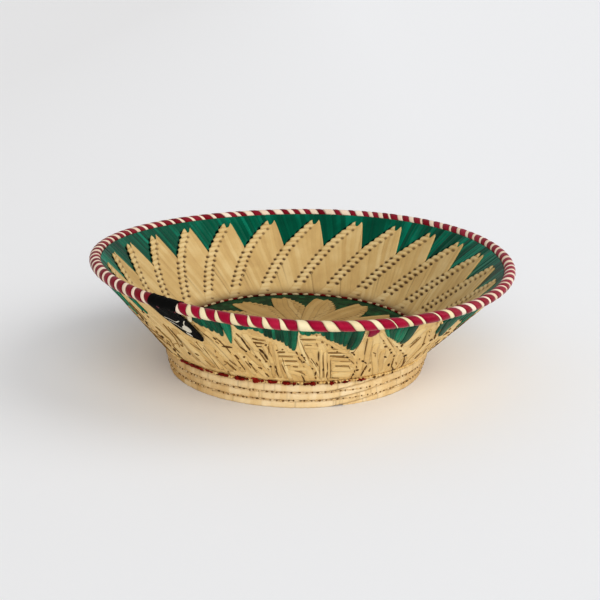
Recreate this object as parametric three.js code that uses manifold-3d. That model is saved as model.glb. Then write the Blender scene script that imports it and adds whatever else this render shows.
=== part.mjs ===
// Coiled grass basket: a shallow flared bowl on a low coiled foot, wrapped in leaf strips.
// Millimetres, +Z up, origin on the table under the middle of the rim.
// The front of the basket, with the ribbon at its left, faces -Y.

import * as THREE from "three";
import Module from "manifold-3d";
import { mergeVertices } from "three/addons/utils/BufferGeometryUtils.js";

const degree = Math.PI / 180;

// Driving dimensions of the bowl
const rimRadius = 150;
const basketHeight = 80.5;
const floorHeight = 24.4;
const cornerRadius = 86.5;
const cornerBend = 16;
const rimWidth = 7;
const rimHeight = 6.2;
const bindingThickness = 0.8;
const coilThickness = 4.4;
const leafThickness = 0.8;
const outerSlim = 1.6;
const gap = 0.3;

// Foot: one grass cord wound in stacked courses
const footRadius = 91.7;
const footCordWidth = 6;
const footCourses = 3;
const footFlare = 1.5;
const footCordGap = 0.48;
const footClimbSteps = 2;
const footTipShare = 0.25;
const footTipWidth = 0.5;
const footEndAngle = -77;
const footFlatDepth = 0.52;
const footTopFlat = 0.75;
const footSeamSize = 1.3;
const footSeamReach = 0.7;

// Pattern of the wall: long leaf teeth rise into a green border
const toothCount = 25;
const notchDepth = 33.1;
const toothHeight = 24.5;
const toothTipTurn = 2.8;
const toothStraightTurn = 2.8;
const toothStart = -4.2;
const toothDriftOnce = -0.7;
const toothDriftTwice = -1.8;
const outerTipStart = -106.3;
const outerTipDepth = 27.6;
const outerToothTopDepth = 6.6;
const outerGreenRightTurn = 2.2;
const outerGreenLeftTurn = 7.4;
const sideInset = 0.35;

// Floor: a leaf star on green, its petals cut square
const petalCount = 14;
const petalTipMargin = 8.2;
const petalToothDepth = 24;
const petalStraightTurn = 3.6;
const petalTipTurn = 8;
const petalStart = 6.5;
const centreButtonRadius = 7;
const cornerCordSize = 1.8;

// Ribbon tag tied over the rim, and the loose ends of the binding below it
const ribbonThickness = 0.6;
const ribbonMiddle = -124.6;
const ribbonTurn = 8.8;
const ribbonFirstAngle = 165;
const ribbonLastAngle = -30;
const ribbonTailTurn = 6;
const ribbonTailTurnAtTip = 3;
const ribbonTailTopDepth = 8.6;
const ribbonTailTipDepth = 29.5;
const looseEndThickness = 0.6;
const crimsonEnd = { top: -73.2, low: -71.9, turn: 2.2, length: 8.5 };
const rightCreamEnd = { top: -54.8, low: -52.6, turn: 1.5, length: 11 };
const leftCreamEnd = { top: -117.1, low: -118.1, turn: 1.8, length: 7 };

// The rim was bent by hand: its rise and its radius wander in slow waves
const rimRise = [[-1.03, 0.36], [1.03, 2.17], [-0.21, -0.17]];
const rimSpread = [[0, 0], [-0.67, -1.54], [0.74, 0.64]];
const footShift = -2.6;

// Steps round the basket
const turnSteps = 60;
const cordSteps = 24;
const cordSides = 6;
const panelColumns = 2;
const thinCordSides = 5;
const rimCoreSides = 6;
const rimSides = 8;
const rimMouthAngle = 46;
const ribbonSteps = 6;
const ribbonTailSteps = 3;
const ribbonColumns = 3;

// Finishes
const naturalLeaf = { color: "#cfb27a", roughness: 0.55, metalness: 0 };
const greenLeaf = { color: "#12573c", roughness: 0.45, metalness: 0 };
const crimsonLeaf = { color: "#a3163b", roughness: 0.38, metalness: 0 };
const creamLeaf = { color: "#e6d6ab", roughness: 0.45, metalness: 0 };
const grassBundle = { color: "#b3955a", roughness: 0.8, metalness: 0 };
const seamRed = { color: "#7c1a22", roughness: 0.5, metalness: 0 };
const blackCloth = { color: "#0d0b0c", roughness: 0.8, metalness: 0 };

// Section of the wall: a bend out of the floor, then a straight run into the rim's centre
const halfCoil = coilThickness / 2;
const leafInside = halfCoil + gap;
const leafOutside = leafInside + leafThickness;
const middleHeight = floorHeight - leafOutside;
const rimCentreRadius = rimRadius - rimWidth / 2;
const rimCentreHeight = basketHeight - rimHeight / 2;
const bendCentreHeight = middleHeight + cornerBend;
const rimFromBendRadius = rimCentreRadius - cornerRadius;
const rimFromBendHeight = rimCentreHeight - bendCentreHeight;
const straightLength = Math.sqrt(rimFromBendRadius ** 2 + rimFromBendHeight ** 2 - cornerBend ** 2);
const wallLean = Math.atan2(rimFromBendHeight, rimFromBendRadius) + Math.atan2(cornerBend, straightLength);
const bendLength = wallLean * cornerBend;
const wallLength = bendLength + straightLength;
const notchDistance = wallLength - notchDepth;
const outerTipDistance = wallLength - outerTipDepth;
const outerToothTop = wallLength - outerToothTopDepth;

// Height of the bowl's underside at a radius: flat floor, bend, then straight wall
function undersideHeight(radius) {
  const beyond = Math.max(0, radius - cornerRadius);
  const reach = cornerBend + leafOutside;
  const bendEnd = reach * Math.sin(wallLean);
  if (beyond < bendEnd) return bendCentreHeight - Math.sqrt(reach ** 2 - beyond ** 2);
  return bendCentreHeight - reach * Math.cos(wallLean) + (beyond - bendEnd) * Math.tan(wallLean);
}

// The foot's top course meets the underside at the inner edge of its flat top
const topCourseRadius = footRadius + (footCourses - 1) * footFlare;
const footTop = undersideHeight(topCourseRadius - footCordWidth * footTopFlat) - gap;

// A point of the wall: along it from the floor, and outward from the middle of the coil.
// The outer side thins toward the rim.
function wallPoint(along, outward) {
  const angle = Math.min(along / cornerBend, wallLean);
  const run = Math.max(along - bendLength, 0);
  const slim = outward > 0 ? (outerSlim * along) / wallLength : 0;
  const reach = cornerBend + outward - slim;
  const radius = cornerRadius + reach * Math.sin(angle) + run * Math.cos(wallLean);
  const height = bendCentreHeight - reach * Math.cos(angle) + run * Math.sin(wallLean);
  return { radius, height };
}

function wave(pairs, angle) {
  let sum = 0;
  pairs.forEach(([cosine, sine], index) => {
    const turns = (index + 1) * angle;
    sum += cosine * Math.cos(turns) + sine * Math.sin(turns);
  });
  return sum;
}

// Puts a point of the true round basket where the hand-bent one has it
function bend(radius, angle, height) {
  const lift = Math.max(0, (height - floorHeight) / (rimCentreHeight - floorHeight));
  const spread = radius + lift * wave(rimSpread, angle);
  const shift = footShift * (1 - height / basketHeight);
  return new THREE.Vector3(
    spread * Math.cos(angle) + shift,
    spread * Math.sin(angle),
    height + lift * wave(rimRise, angle),
  );
}

// One closed body from triangles: doubles merged, slivers dropped, faces turned outward
function closedBody(geometry) {
  geometry.deleteAttribute("normal");
  geometry.deleteAttribute("uv");
  const merged = mergeVertices(geometry, 1e-4);
  const corners = merged.index.array;
  const position = merged.attributes.position;
  const kept = [];
  let volume = 0;
  for (let i = 0; i < corners.length; i += 3) {
    const [a, b, c] = [corners[i], corners[i + 1], corners[i + 2]];
    if (a === b || b === c || c === a) continue;
    kept.push(a, b, c);
    const p = new THREE.Vector3().fromBufferAttribute(position, a);
    const q = new THREE.Vector3().fromBufferAttribute(position, b);
    const r = new THREE.Vector3().fromBufferAttribute(position, c);
    volume += p.dot(q.cross(r));
  }
  if (volume < 0) kept.reverse();
  merged.setIndex(kept);
  merged.computeVertexNormals();
  return merged;
}

function bodyFromPoints(points, triangles) {
  const geometry = new THREE.BufferGeometry();
  geometry.setAttribute("position", new THREE.Float32BufferAttribute(points.flatMap((p) => p.toArray()), 3));
  geometry.setIndex(triangles);
  return closedBody(geometry);
}

// A ring or disc turned from a closed profile of radius and height pairs
function turned(profile) {
  const points = profile.map(({ radius, height }) => new THREE.Vector2(radius, height));
  const geometry = new THREE.LatheGeometry(points, turnSteps);
  geometry.rotateX(Math.PI / 2);
  const position = geometry.attributes.position;
  for (let i = 0; i < position.count; i += 1) {
    const radius = Math.hypot(position.getX(i), position.getY(i));
    const angle = Math.atan2(position.getY(i), position.getX(i));
    const spot = bend(radius, angle, position.getZ(i));
    position.setXYZ(i, spot.x, spot.y, spot.z);
  }
  return closedBody(geometry);
}

// A thin sheet with two faces over a grid; the grid may close round the basket
function sheet(rows, columns, closesRound, front, back) {
  const points = [];
  const width = closesRound ? columns : columns + 1;
  for (const face of [front, back]) {
    for (let row = 0; row <= rows; row += 1) {
      for (let column = 0; column < width; column += 1) points.push(face(row, column));
    }
  }
  const half = (rows + 1) * width;
  const at = (row, column, side) => side * half + row * width + (column % width);
  const triangles = [];
  const quad = (a, b, c, d) => triangles.push(a, b, c, a, c, d);
  for (let row = 0; row < rows; row += 1) {
    for (let column = 0; column < columns; column += 1) {
      quad(at(row, column, 0), at(row, column + 1, 0), at(row + 1, column + 1, 0), at(row + 1, column, 0));
      quad(at(row, column, 1), at(row + 1, column, 1), at(row + 1, column + 1, 1), at(row, column + 1, 1));
    }
  }
  for (let column = 0; column < columns; column += 1) {
    quad(at(0, column, 0), at(0, column, 1), at(0, column + 1, 1), at(0, column + 1, 0));
    quad(at(rows, column, 0), at(rows, column + 1, 0), at(rows, column + 1, 1), at(rows, column, 1));
  }
  if (!closesRound) {
    for (let row = 0; row < rows; row += 1) {
      quad(at(row, 0, 0), at(row + 1, 0, 0), at(row + 1, 0, 1), at(row, 0, 1));
      quad(at(row, columns, 0), at(row, columns, 1), at(row + 1, columns, 1), at(row + 1, columns, 0));
    }
  }
  return bodyFromPoints(points, triangles);
}

const basket = new THREE.Group();

function add(name, geometry, finish) {
  const mesh = new THREE.Mesh(geometry, new THREE.MeshStandardMaterial(finish));
  mesh.name = name;
  basket.add(mesh);
}

// Places along the bend that every layer of the wall shares
const bendStops = [bendLength / 3, (2 * bendLength) / 3, bendLength];

// Wall coil: the grass courses between the leaf faces, narrowed where it enters the binding
const coreWidth = rimWidth / 2 - bindingThickness - gap;
const coreHeight = rimHeight / 2 - bindingThickness - gap;
const tongueStart = wallLength - rimHeight / 2 - gap;
const tongueEnd = wallLength - Math.max(coreWidth, coreHeight) - gap;
const tongueHalf = coreHeight - 2 * gap;

function wallCoil() {
  const stops = [gap, ...bendStops, tongueStart];
  const under = stops.map((along) => wallPoint(along, halfCoil));
  const over = stops.map((along) => wallPoint(along, -halfCoil)).reverse();
  const tongue = [wallPoint(tongueEnd, tongueHalf), wallPoint(tongueEnd, -tongueHalf)];
  return turned([...under, ...tongue, ...over, under[0]]);
}

// Floor coil, its leaf below, and the cord that lies in the corner on top of it
function disc(radius, low, high) {
  return turned([
    { radius: 0, height: low },
    { radius, height: low },
    { radius, height: high },
    { radius: 0, height: high },
  ]);
}

function cornerCord() {
  const half = cornerCordSize / 2;
  const centreHeight = middleHeight + leafInside + half;
  const profile = [];
  for (let side = 0; side <= thinCordSides; side += 1) {
    const angle = (side / thinCordSides) * 2 * Math.PI;
    profile.push({
      radius: cornerRadius + half + half * Math.cos(angle),
      height: centreHeight + half * Math.sin(angle),
    });
  }
  return turned(profile);
}

// Rim: a grass core inside a bound sleeve that is open where the wall enters it
function rimOval(width, height, angle) {
  return {
    radius: rimCentreRadius + width * Math.cos(angle),
    height: rimCentreHeight + height * Math.sin(angle),
  };
}

function rimCore() {
  const profile = [];
  for (let side = 0; side <= rimCoreSides; side += 1) {
    profile.push(rimOval(coreWidth, coreHeight, (side / rimCoreSides) * 2 * Math.PI));
  }
  return turned(profile);
}

function rimBinding() {
  const mouth = rimMouthAngle * degree;
  const first = wallLean + Math.PI + mouth;
  const sweep = 2 * Math.PI - 2 * mouth;
  const outside = [];
  const inside = [];
  for (let side = 0; side <= rimSides; side += 1) {
    const angle = first + (sweep * side) / rimSides;
    outside.push(rimOval(rimWidth / 2, rimHeight / 2, angle));
    inside.unshift(rimOval(rimWidth / 2 - bindingThickness, rimHeight / 2 - bindingThickness, angle));
  }
  return turned([...outside, ...inside, outside[0]]);
}

// Angle of a wall notch in degrees; the teeth were spaced by eye
function notchAngle(index) {
  const even = toothStart + (360 / toothCount) * index;
  return even + toothDriftOnce * Math.sin(even * degree) + toothDriftTwice * Math.sin(2 * even * degree);
}

const rowSlope = (360 / toothCount - toothStraightTurn - toothTipTurn) / toothHeight;
const leafTop = wallLength - rimHeight / 2 + gap;
const panelStart = cornerBend * Math.asin((cornerCordSize + 2 * gap) / (cornerBend - leafOutside));
const tipDistance = notchDistance + toothHeight;

// One leaf panel inside the wall: slanted below its notches, a tooth above them
function toothPanel(index) {
  const right = notchAngle(index);
  const left = notchAngle(index + 1);
  const straightSlope = toothStraightTurn / toothHeight;
  const slantSlope = (left - right - toothStraightTurn - toothTipTurn) / toothHeight;
  const rightSlope = (above) => (above > 0 ? straightSlope : -rowSlope);
  const leftSlope = (above) => (above > 0 ? -slantSlope : -rowSlope);
  const lower = bendStops.filter((along) => along > panelStart + leafThickness);
  const middle = [1 / 3, 2 / 3].map((share) => bendLength + share * (notchDistance - bendLength));
  const upper = [notchDistance, notchDistance + toothHeight / 2, tipDistance - sideInset];
  const stops = [panelStart, ...lower, ...middle, ...upper];
  const spot = (outward) => (row, column) => {
    const along = stops[row];
    const above = along - notchDistance;
    const { radius, height } = wallPoint(along, outward);
    const inset = sideInset / radius;
    const rightEdge = (right + rightSlope(above) * above) * degree + inset;
    const leftEdge = (left + leftSlope(above) * above) * degree - inset;
    return bend(radius, rightEdge + ((leftEdge - rightEdge) * column) / panelColumns, height);
  };
  return sheet(stops.length - 1, panelColumns, false, spot(-leafInside), spot(-leafOutside));
}

// Ring of leaf on one face of the wall; each row is a list of distances along the wall by column
function wallRing(angles, rows, faceInside, faceOutside) {
  const spot = (outward) => (row, column) => {
    const { radius, height } = wallPoint(rows[row][column], outward);
    return bend(radius, angles[column] * degree, height);
  };
  return sheet(rows.length - 1, angles.length, true, spot(faceInside), spot(faceOutside));
}

function greenBorderInside() {
  const angles = [];
  const lowEdge = [];
  for (let index = 0; index < toothCount; index += 1) {
    const right = notchAngle(index);
    const left = notchAngle(index + 1);
    const tipRight = right + toothStraightTurn;
    const tipLeft = tipRight + toothTipTurn;
    angles.push(right, tipRight, tipLeft, (2 * tipLeft + left) / 3, (tipLeft + 2 * left) / 3);
    lowEdge.push(notchDistance, tipDistance, tipDistance);
    lowEdge.push(notchDistance + (toothHeight * 2) / 3, notchDistance + toothHeight / 3);
  }
  const highEdge = angles.map(() => leafTop);
  return wallRing(angles, [lowEdge, highEdge], -leafInside, -leafOutside);
}

// Outside, green triangles hang from the rim over the natural leaf
function outerPattern() {
  const angles = [];
  const boundary = [];
  for (let index = 0; index < toothCount; index += 1) {
    const tip = outerTipStart + (360 / toothCount) * index;
    const nextTip = tip + 360 / toothCount;
    const rightTop = tip + outerGreenRightTurn;
    const leftTop = nextTip - outerGreenLeftTurn;
    angles.push(tip, rightTop, leftTop, (leftTop + nextTip) / 2);
    boundary.push(outerTipDistance, outerToothTop, outerToothTop, (outerTipDistance + outerToothTop) / 2);
  }
  return { angles, boundary };
}

function greenBorderOutside() {
  const { angles, boundary } = outerPattern();
  const lowEdge = boundary.map((along) => along + gap);
  const highEdge = angles.map(() => leafTop);
  return wallRing(angles, [lowEdge, highEdge], leafInside, leafOutside);
}

function naturalLeafOutside() {
  const { angles, boundary } = outerPattern();
  const rows = [gap, ...bendStops].map((along) => angles.map(() => along));
  const highEdge = boundary.map((along) => along - gap);
  return wallRing(angles, [...rows, highEdge], leafInside, leafOutside);
}

// Floor petals: a straight edge, a cut tip and a slanted edge
const leafUnder = middleHeight + leafInside;
const floorLeafRadius = cornerRadius - gap;
const petalTipRadius = floorLeafRadius - petalTipMargin;
const petalNotchRadius = petalTipRadius - petalToothDepth;

function petalAngle(index) {
  return petalStart + (360 / petalCount) * index;
}

function flatPiece(outline) {
  const corners = outline.map(([radius, angle]) => new THREE.Vector2(
    radius * Math.cos(angle * degree) + footShift * (1 - floorHeight / basketHeight),
    radius * Math.sin(angle * degree),
  ));
  const geometry = new THREE.ExtrudeGeometry(new THREE.Shape(corners), {
    depth: leafThickness,
    bevelEnabled: false,
  });
  geometry.translate(0, 0, leafUnder);
  return closedBody(geometry);
}

function petal(index) {
  const low = petalAngle(index);
  const high = petalAngle(index + 1);
  const turnAt = (radius) => sideInset / radius / degree;
  const straight = high - petalStraightTurn;
  return flatPiece([
    [centreButtonRadius + gap, low + turnAt(centreButtonRadius)],
    [petalNotchRadius, low + turnAt(petalNotchRadius)],
    [petalTipRadius - sideInset, straight - petalTipTurn + turnAt(petalTipRadius)],
    [petalTipRadius - sideInset, straight - turnAt(petalTipRadius)],
    [petalNotchRadius, high - turnAt(petalNotchRadius)],
    [centreButtonRadius + gap, high - turnAt(centreButtonRadius)],
  ]);
}

function greenFloor() {
  const angles = [];
  const innerEdge = [];
  for (let index = 0; index < petalCount; index += 1) {
    const low = petalAngle(index);
    const straight = petalAngle(index + 1) - petalStraightTurn;
    angles.push(low, straight - petalTipTurn, straight - petalTipTurn / 2, straight);
    innerEdge.push(petalNotchRadius, petalTipRadius, petalTipRadius, petalTipRadius);
  }
  const spot = (height) => (row, column) => {
    const radius = row === 0 ? innerEdge[column] : floorLeafRadius;
    return bend(radius, angles[column] * degree, height);
  };
  return sheet(1, angles.length, true, spot(leafUnder), spot(floorHeight));
}

// Foot: level courses with one short climb a turn. The cord is thin at its first end, where the
// next course climbs over it, and again at its last end, so that the foot is level all round.
const footCordHeight = (footTop + footFlatDepth - (footCourses - 1) * footCordGap) / footCourses;
const footRise = footCordHeight + footCordGap;

function footCourse(step) {
  const turn = Math.floor(step / cordSteps);
  const intoClimb = Math.min(1, (step % cordSteps) / footClimbSteps);
  const course = turn - 1 + intoClimb;
  const low = Math.max(0, course * footRise) - footFlatDepth;
  const high = Math.min(course * footRise + footCordHeight - footFlatDepth, footTop);
  const level = Math.min(Math.max(course, 0), footCourses - 1);
  const radius = footRadius - footCordWidth / 2 + level * footFlare;
  return { radius, low, high, angle: footEndAngle * degree + (step / cordSteps) * 2 * Math.PI };
}

function footCord() {
  const tip = footClimbSteps * footTipShare;
  const lastStep = footCourses * cordSteps + footClimbSteps;
  const steps = [tip];
  for (let step = 1; step < lastStep; step += 1) steps.push(step);
  steps.push(lastStep - tip);
  const points = [];
  for (const step of steps) {
    const { radius, low, high, angle } = footCourse(step);
    const fullness = (high - low) / footCordHeight;
    const halfWidth = (footCordWidth / 2) * (footTipWidth + (1 - footTipWidth) * fullness);
    for (let side = 0; side < cordSides; side += 1) {
      const around = (side / cordSides) * 2 * Math.PI;
      const rise = ((high - low) / 2) * (Math.sin(around) / Math.sin(Math.PI / 3));
      points.push(bend(radius + halfWidth * Math.cos(around), angle, (low + high) / 2 + rise));
    }
  }
  const triangles = [];
  const last = steps.length - 1;
  for (let ring = 0; ring < last; ring += 1) {
    for (let side = 0; side < cordSides; side += 1) {
      const a = ring * cordSides + side;
      const b = ring * cordSides + ((side + 1) % cordSides);
      triangles.push(a, b, b + cordSides, a, b + cordSides, a + cordSides);
    }
  }
  const end = last * cordSides;
  for (let side = 1; side < cordSides - 1; side += 1) {
    triangles.push(0, side + 1, side);
    triangles.push(end, end + side, end + side + 1);
  }
  console.log("least gap of the foot cord to itself, mm:", leastSelfGap(points).toFixed(2));
  return bodyFromPoints(points, triangles);
}

// Least distance between courses, on points all over the cord
function leastSelfGap(points) {
  const shares = [0, 0.25, 0.5, 0.75];
  const dense = [];
  for (let index = 0; index + cordSides < points.length; index += 1) {
    const ring = Math.floor(index / cordSides) * cordSides;
    const beside = ring + ((index + 1) % cordSides);
    for (const across of shares) {
      const near = points[index].clone().lerp(points[beside], across);
      const far = points[index + cordSides].clone().lerp(points[beside + cordSides], across);
      dense.push({ step: ring / cordSides, spot: near });
      dense.push({ step: ring / cordSides, spot: near.clone().lerp(far, 0.5) });
    }
  }
  let least = Infinity;
  for (const one of dense) {
    for (const other of dense) {
      if (other.step - one.step < cordSteps / 2) continue;
      least = Math.min(least, one.spot.distanceTo(other.spot));
    }
  }
  return least;
}

// Cuts the cord flat at the table
async function footCoil() {
  const wasm = await Module();
  wasm.setup();
  const asSolid = (geometry) => new wasm.Manifold(new wasm.Mesh({
    numProp: 3,
    vertProperties: new Float32Array(geometry.attributes.position.array),
    triVerts: new Uint32Array(geometry.index.array),
  }));
  const belowSize = 2 * rimRadius;
  const block = new THREE.BoxGeometry(belowSize, belowSize, footRadius);
  block.translate(0, 0, -footRadius / 2);
  const cut = asSolid(footCord()).subtract(asSolid(closedBody(block))).getMesh();
  const geometry = new THREE.BufferGeometry();
  geometry.setAttribute("position", new THREE.Float32BufferAttribute(cut.vertProperties, 3));
  geometry.setIndex(Array.from(cut.triVerts));
  return closedBody(geometry);
}

// Red strip that sews the foot to the bowl, lying in the groove above the top course
function footSeam() {
  const half = footSeamSize / 2;
  const seamRadius = topCourseRadius + footSeamReach;
  const seamHeight = undersideHeight(seamRadius) - gap - half;
  const profile = [];
  for (let side = 0; side <= thinCordSides; side += 1) {
    const angle = (side / thinCordSides) * 2 * Math.PI;
    profile.push({
      radius: seamRadius + half * Math.cos(angle),
      height: seamHeight + half * Math.sin(angle),
    });
  }
  return turned(profile);
}

// Ribbon: over the rim, then down the outside to a narrow end
function ribbonTag() {
  const path = [];
  for (let step = 0; step <= ribbonSteps; step += 1) {
    const angle = ribbonFirstAngle + ((ribbonLastAngle - ribbonFirstAngle) * step) / ribbonSteps;
    path.push({ angle: angle * degree });
  }
  for (let step = 0; step <= ribbonTailSteps; step += 1) path.push({ share: step / ribbonTailSteps });
  const spot = (lift) => (row, column) => {
    const step = path[row];
    const across = column / ribbonColumns - 0.5;
    const outward = leafOutside + 2 * gap + lift;
    if (step.share === undefined) {
      const { radius, height } = rimOval(rimWidth / 2 + gap + lift, rimHeight / 2 + gap + lift, step.angle);
      return bend(radius, (ribbonMiddle + ribbonTurn * across) * degree, height);
    }
    const depth = ribbonTailTopDepth + (ribbonTailTipDepth - ribbonTailTopDepth) * step.share;
    const width = ribbonTurn + (ribbonTailTurnAtTip - ribbonTurn) * step.share;
    const middle = ribbonMiddle + ribbonTailTurn * step.share;
    const { radius, height } = wallPoint(wallLength - depth, outward);
    return bend(radius, (middle + width * across) * degree, height);
  };
  return sheet(path.length - 1, ribbonColumns, false, spot(0), spot(ribbonThickness));
}

// Loose end of a binding strip, hanging below the rim on the outer leaf
function looseEnd({ top, low, turn, length }) {
  const near = leafOutside + gap;
  const spot = (outward) => (row, column) => {
    const along = leafTop - length * (row / 2);
    const middle = top + ((low - top) * row) / 2;
    const { radius, height } = wallPoint(along, outward);
    return bend(radius, (middle + turn * (column - 0.5)) * degree, height);
  };
  return sheet(2, 1, false, spot(near), spot(near + looseEndThickness));
}

add("foot_coil", await footCoil(), grassBundle);
add("foot_seam_strip", footSeam(), seamRed);
add("floor_leaf_underside", disc(floorLeafRadius, middleHeight - leafOutside, middleHeight - leafInside), naturalLeaf);
add("floor_coil", disc(floorLeafRadius, middleHeight - halfCoil, middleHeight + halfCoil), grassBundle);
add("floor_centre_button", disc(centreButtonRadius, leafUnder, floorHeight), naturalLeaf);
for (let index = 0; index < petalCount; index += 1) {
  add(`floor_petal_${String(index + 1).padStart(2, "0")}`, petal(index), naturalLeaf);
}
add("floor_leaf_green", greenFloor(), greenLeaf);
add("corner_cord", cornerCord(), seamRed);
add("wall_coil", wallCoil(), grassBundle);
for (let index = 0; index < toothCount; index += 1) {
  add(`wall_leaf_panel_${String(index + 1).padStart(2, "0")}`, toothPanel(index), naturalLeaf);
}
add("wall_leaf_green_inside", greenBorderInside(), greenLeaf);
add("wall_leaf_natural_outside", naturalLeafOutside(), naturalLeaf);
add("wall_leaf_green_outside", greenBorderOutside(), greenLeaf);
add("rim_core", rimCore(), grassBundle);
add("rim_binding", rimBinding(), crimsonLeaf);
add("binding_end_crimson", looseEnd(crimsonEnd), crimsonLeaf);
add("binding_end_cream_right", looseEnd(rightCreamEnd), creamLeaf);
add("binding_end_cream_left", looseEnd(leftCreamEnd), creamLeaf);
add("ribbon_tag", ribbonTag(), blackCloth);

export default basket;
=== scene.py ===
import math

import bpy
import numpy as np
from mathutils import Matrix, Vector


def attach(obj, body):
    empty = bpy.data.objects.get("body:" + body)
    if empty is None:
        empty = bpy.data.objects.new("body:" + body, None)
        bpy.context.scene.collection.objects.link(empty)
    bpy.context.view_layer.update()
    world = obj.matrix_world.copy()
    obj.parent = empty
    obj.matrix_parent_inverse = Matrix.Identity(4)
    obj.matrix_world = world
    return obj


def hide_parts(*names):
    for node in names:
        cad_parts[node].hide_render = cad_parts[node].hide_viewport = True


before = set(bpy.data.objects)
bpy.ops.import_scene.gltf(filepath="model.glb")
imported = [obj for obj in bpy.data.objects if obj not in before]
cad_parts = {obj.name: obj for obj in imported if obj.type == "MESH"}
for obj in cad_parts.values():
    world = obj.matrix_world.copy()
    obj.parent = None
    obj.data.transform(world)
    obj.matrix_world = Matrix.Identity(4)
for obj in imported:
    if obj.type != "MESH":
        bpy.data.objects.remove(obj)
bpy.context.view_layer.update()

bpy.ops.object.select_all(action="DESELECT")

# Sizes of the basket in millimetres, as its solids have them
RIM_RADIUS = 150.0
BASKET_HEIGHT = 80.5
FLOOR_HEIGHT = 24.4
CORNER_RADIUS = 86.5
CORNER_BEND = 16.0
RIM_WIDTH = 7.0
RIM_HEIGHT = 6.2
HALF_COIL = 2.2
GAP = 0.3
LEAF = 0.8
OUTER_SLIM = 1.6
TOOTH_COUNT = 25
TOOTH_PITCH = 360.0 / TOOTH_COUNT
NOTCH_DEPTH = 33.1
TOOTH_HEIGHT = 24.5
TIP_TURN = 2.8
STRAIGHT_TURN = 2.8
TOOTH_START = -4.2
DRIFT_ONCE = 0.7
DRIFT_TWICE = 1.8
PETAL_COUNT = 14
PETAL_NOTCH = 54.0
PETAL_TIP = 78.0
FOOT_RADIUS = 91.7
FOOT_SHIFT = -2.6
RIM_RISE = ((-1.03, 0.36), (1.03, 2.17), (-0.21, -0.17))
RIM_SPREAD = ((0.0, 0.0), (-0.67, -1.54), (0.74, 0.64))
DEGREE = math.pi / 180.0
METRES = 0.001

# The wall's section: a bend out of the floor, then a straight run into the rim
LEAF_INSIDE = HALF_COIL + GAP
LEAF_OUTSIDE = LEAF_INSIDE + LEAF
MIDDLE_HEIGHT = FLOOR_HEIGHT - LEAF_OUTSIDE
RIM_CENTRE_RADIUS = RIM_RADIUS - RIM_WIDTH / 2
RIM_CENTRE_HEIGHT = BASKET_HEIGHT - RIM_HEIGHT / 2
BEND_CENTRE_HEIGHT = MIDDLE_HEIGHT + CORNER_BEND
ACROSS_TO_RIM = RIM_CENTRE_RADIUS - CORNER_RADIUS
UP_TO_RIM = RIM_CENTRE_HEIGHT - BEND_CENTRE_HEIGHT
STRAIGHT_LENGTH = math.sqrt(ACROSS_TO_RIM**2 + UP_TO_RIM**2 - CORNER_BEND**2)
WALL_LEAN = math.atan2(UP_TO_RIM, ACROSS_TO_RIM) + math.atan2(CORNER_BEND, STRAIGHT_LENGTH)
BEND_LENGTH = WALL_LEAN * CORNER_BEND
WALL_LENGTH = BEND_LENGTH + STRAIGHT_LENGTH
UNDER_RIM = WALL_LENGTH - 1.2
NOTCH_ALONG = WALL_LENGTH - NOTCH_DEPTH
TIP_ALONG = NOTCH_ALONG + TOOTH_HEIGHT
COURSE = TOOTH_HEIGHT / 6
ROW_SLOPE = 0.325
STRAIGHT_SLOPE = STRAIGHT_TURN / TOOTH_HEIGHT
STEPPED_TURN = TOOTH_PITCH - STRAIGHT_TURN - TIP_TURN


def wall_radius_height(along, outward):
    """Radius and height on the true round wall, from places along and outward of its section."""
    along = np.asarray(along, float)
    angle = np.minimum(along / CORNER_BEND, WALL_LEAN)
    run = np.maximum(along - BEND_LENGTH, 0.0)
    slim = np.where(np.asarray(outward) > 0, OUTER_SLIM * along / WALL_LENGTH, 0.0)
    reach = CORNER_BEND + outward - slim
    radius = CORNER_RADIUS + reach * np.sin(angle) + run * math.cos(WALL_LEAN)
    height = BEND_CENTRE_HEIGHT - reach * np.cos(angle) + run * math.sin(WALL_LEAN)
    return radius, height


def hand_wave(pairs, angle):
    """Slow waves round the basket: a cosine and a sine for one, two and three turns."""
    total = 0.0
    for turns, (cosine, sine) in enumerate(pairs, 1):
        total = total + cosine * np.cos(turns * angle) + sine * np.sin(turns * angle)
    return total


def hand_bend(radius, angle, height):
    """Metres on the hand-bent basket, from the true round one's radius, angle and height."""
    lift = np.maximum(0.0, (height - FLOOR_HEIGHT) / (RIM_CENTRE_HEIGHT - FLOOR_HEIGHT))
    spread = radius + lift * hand_wave(RIM_SPREAD, angle)
    x = spread * np.cos(angle) + FOOT_SHIFT * (1.0 - height / BASKET_HEIGHT)
    y = spread * np.sin(angle)
    z = height + lift * hand_wave(RIM_RISE, angle)
    return stacked(x, y, z) * METRES


def on_wall(along, degrees, outward):
    """Metres on the hand-bent wall."""
    radius, height = wall_radius_height(along, outward)
    return hand_bend(radius, np.asarray(degrees) * DEGREE, height)


def on_rim(around, degrees, proud):
    """Metres on the rim, so many radians round its oval section and so far proud of it."""
    radius = RIM_CENTRE_RADIUS + (RIM_WIDTH / 2 + proud) * np.cos(around)
    height = RIM_CENTRE_HEIGHT + (RIM_HEIGHT / 2 + proud) * np.sin(around)
    return hand_bend(radius, degrees * DEGREE, height)


def notch_angle(index):
    """Degrees of the notch right of a tooth; the teeth drift a little round the basket."""
    even = TOOTH_START + TOOTH_PITCH * index
    return even - DRIFT_ONCE * math.sin(even * DEGREE) - DRIFT_TWICE * math.sin(2 * even * DEGREE)


def half_turn(degrees):
    """The same angle between -180 and 180 degrees."""
    return (degrees + 180) % 360 - 180


def numbered(values):
    """The whole number below each value, and the share of the way to the next."""
    number = np.floor(values).astype(int)
    return number, values - number


def dome(share):
    """A hump over a strip: 0 at both edges and 1 in the middle."""
    return 1 - (2 * share - 1) ** 2


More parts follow.
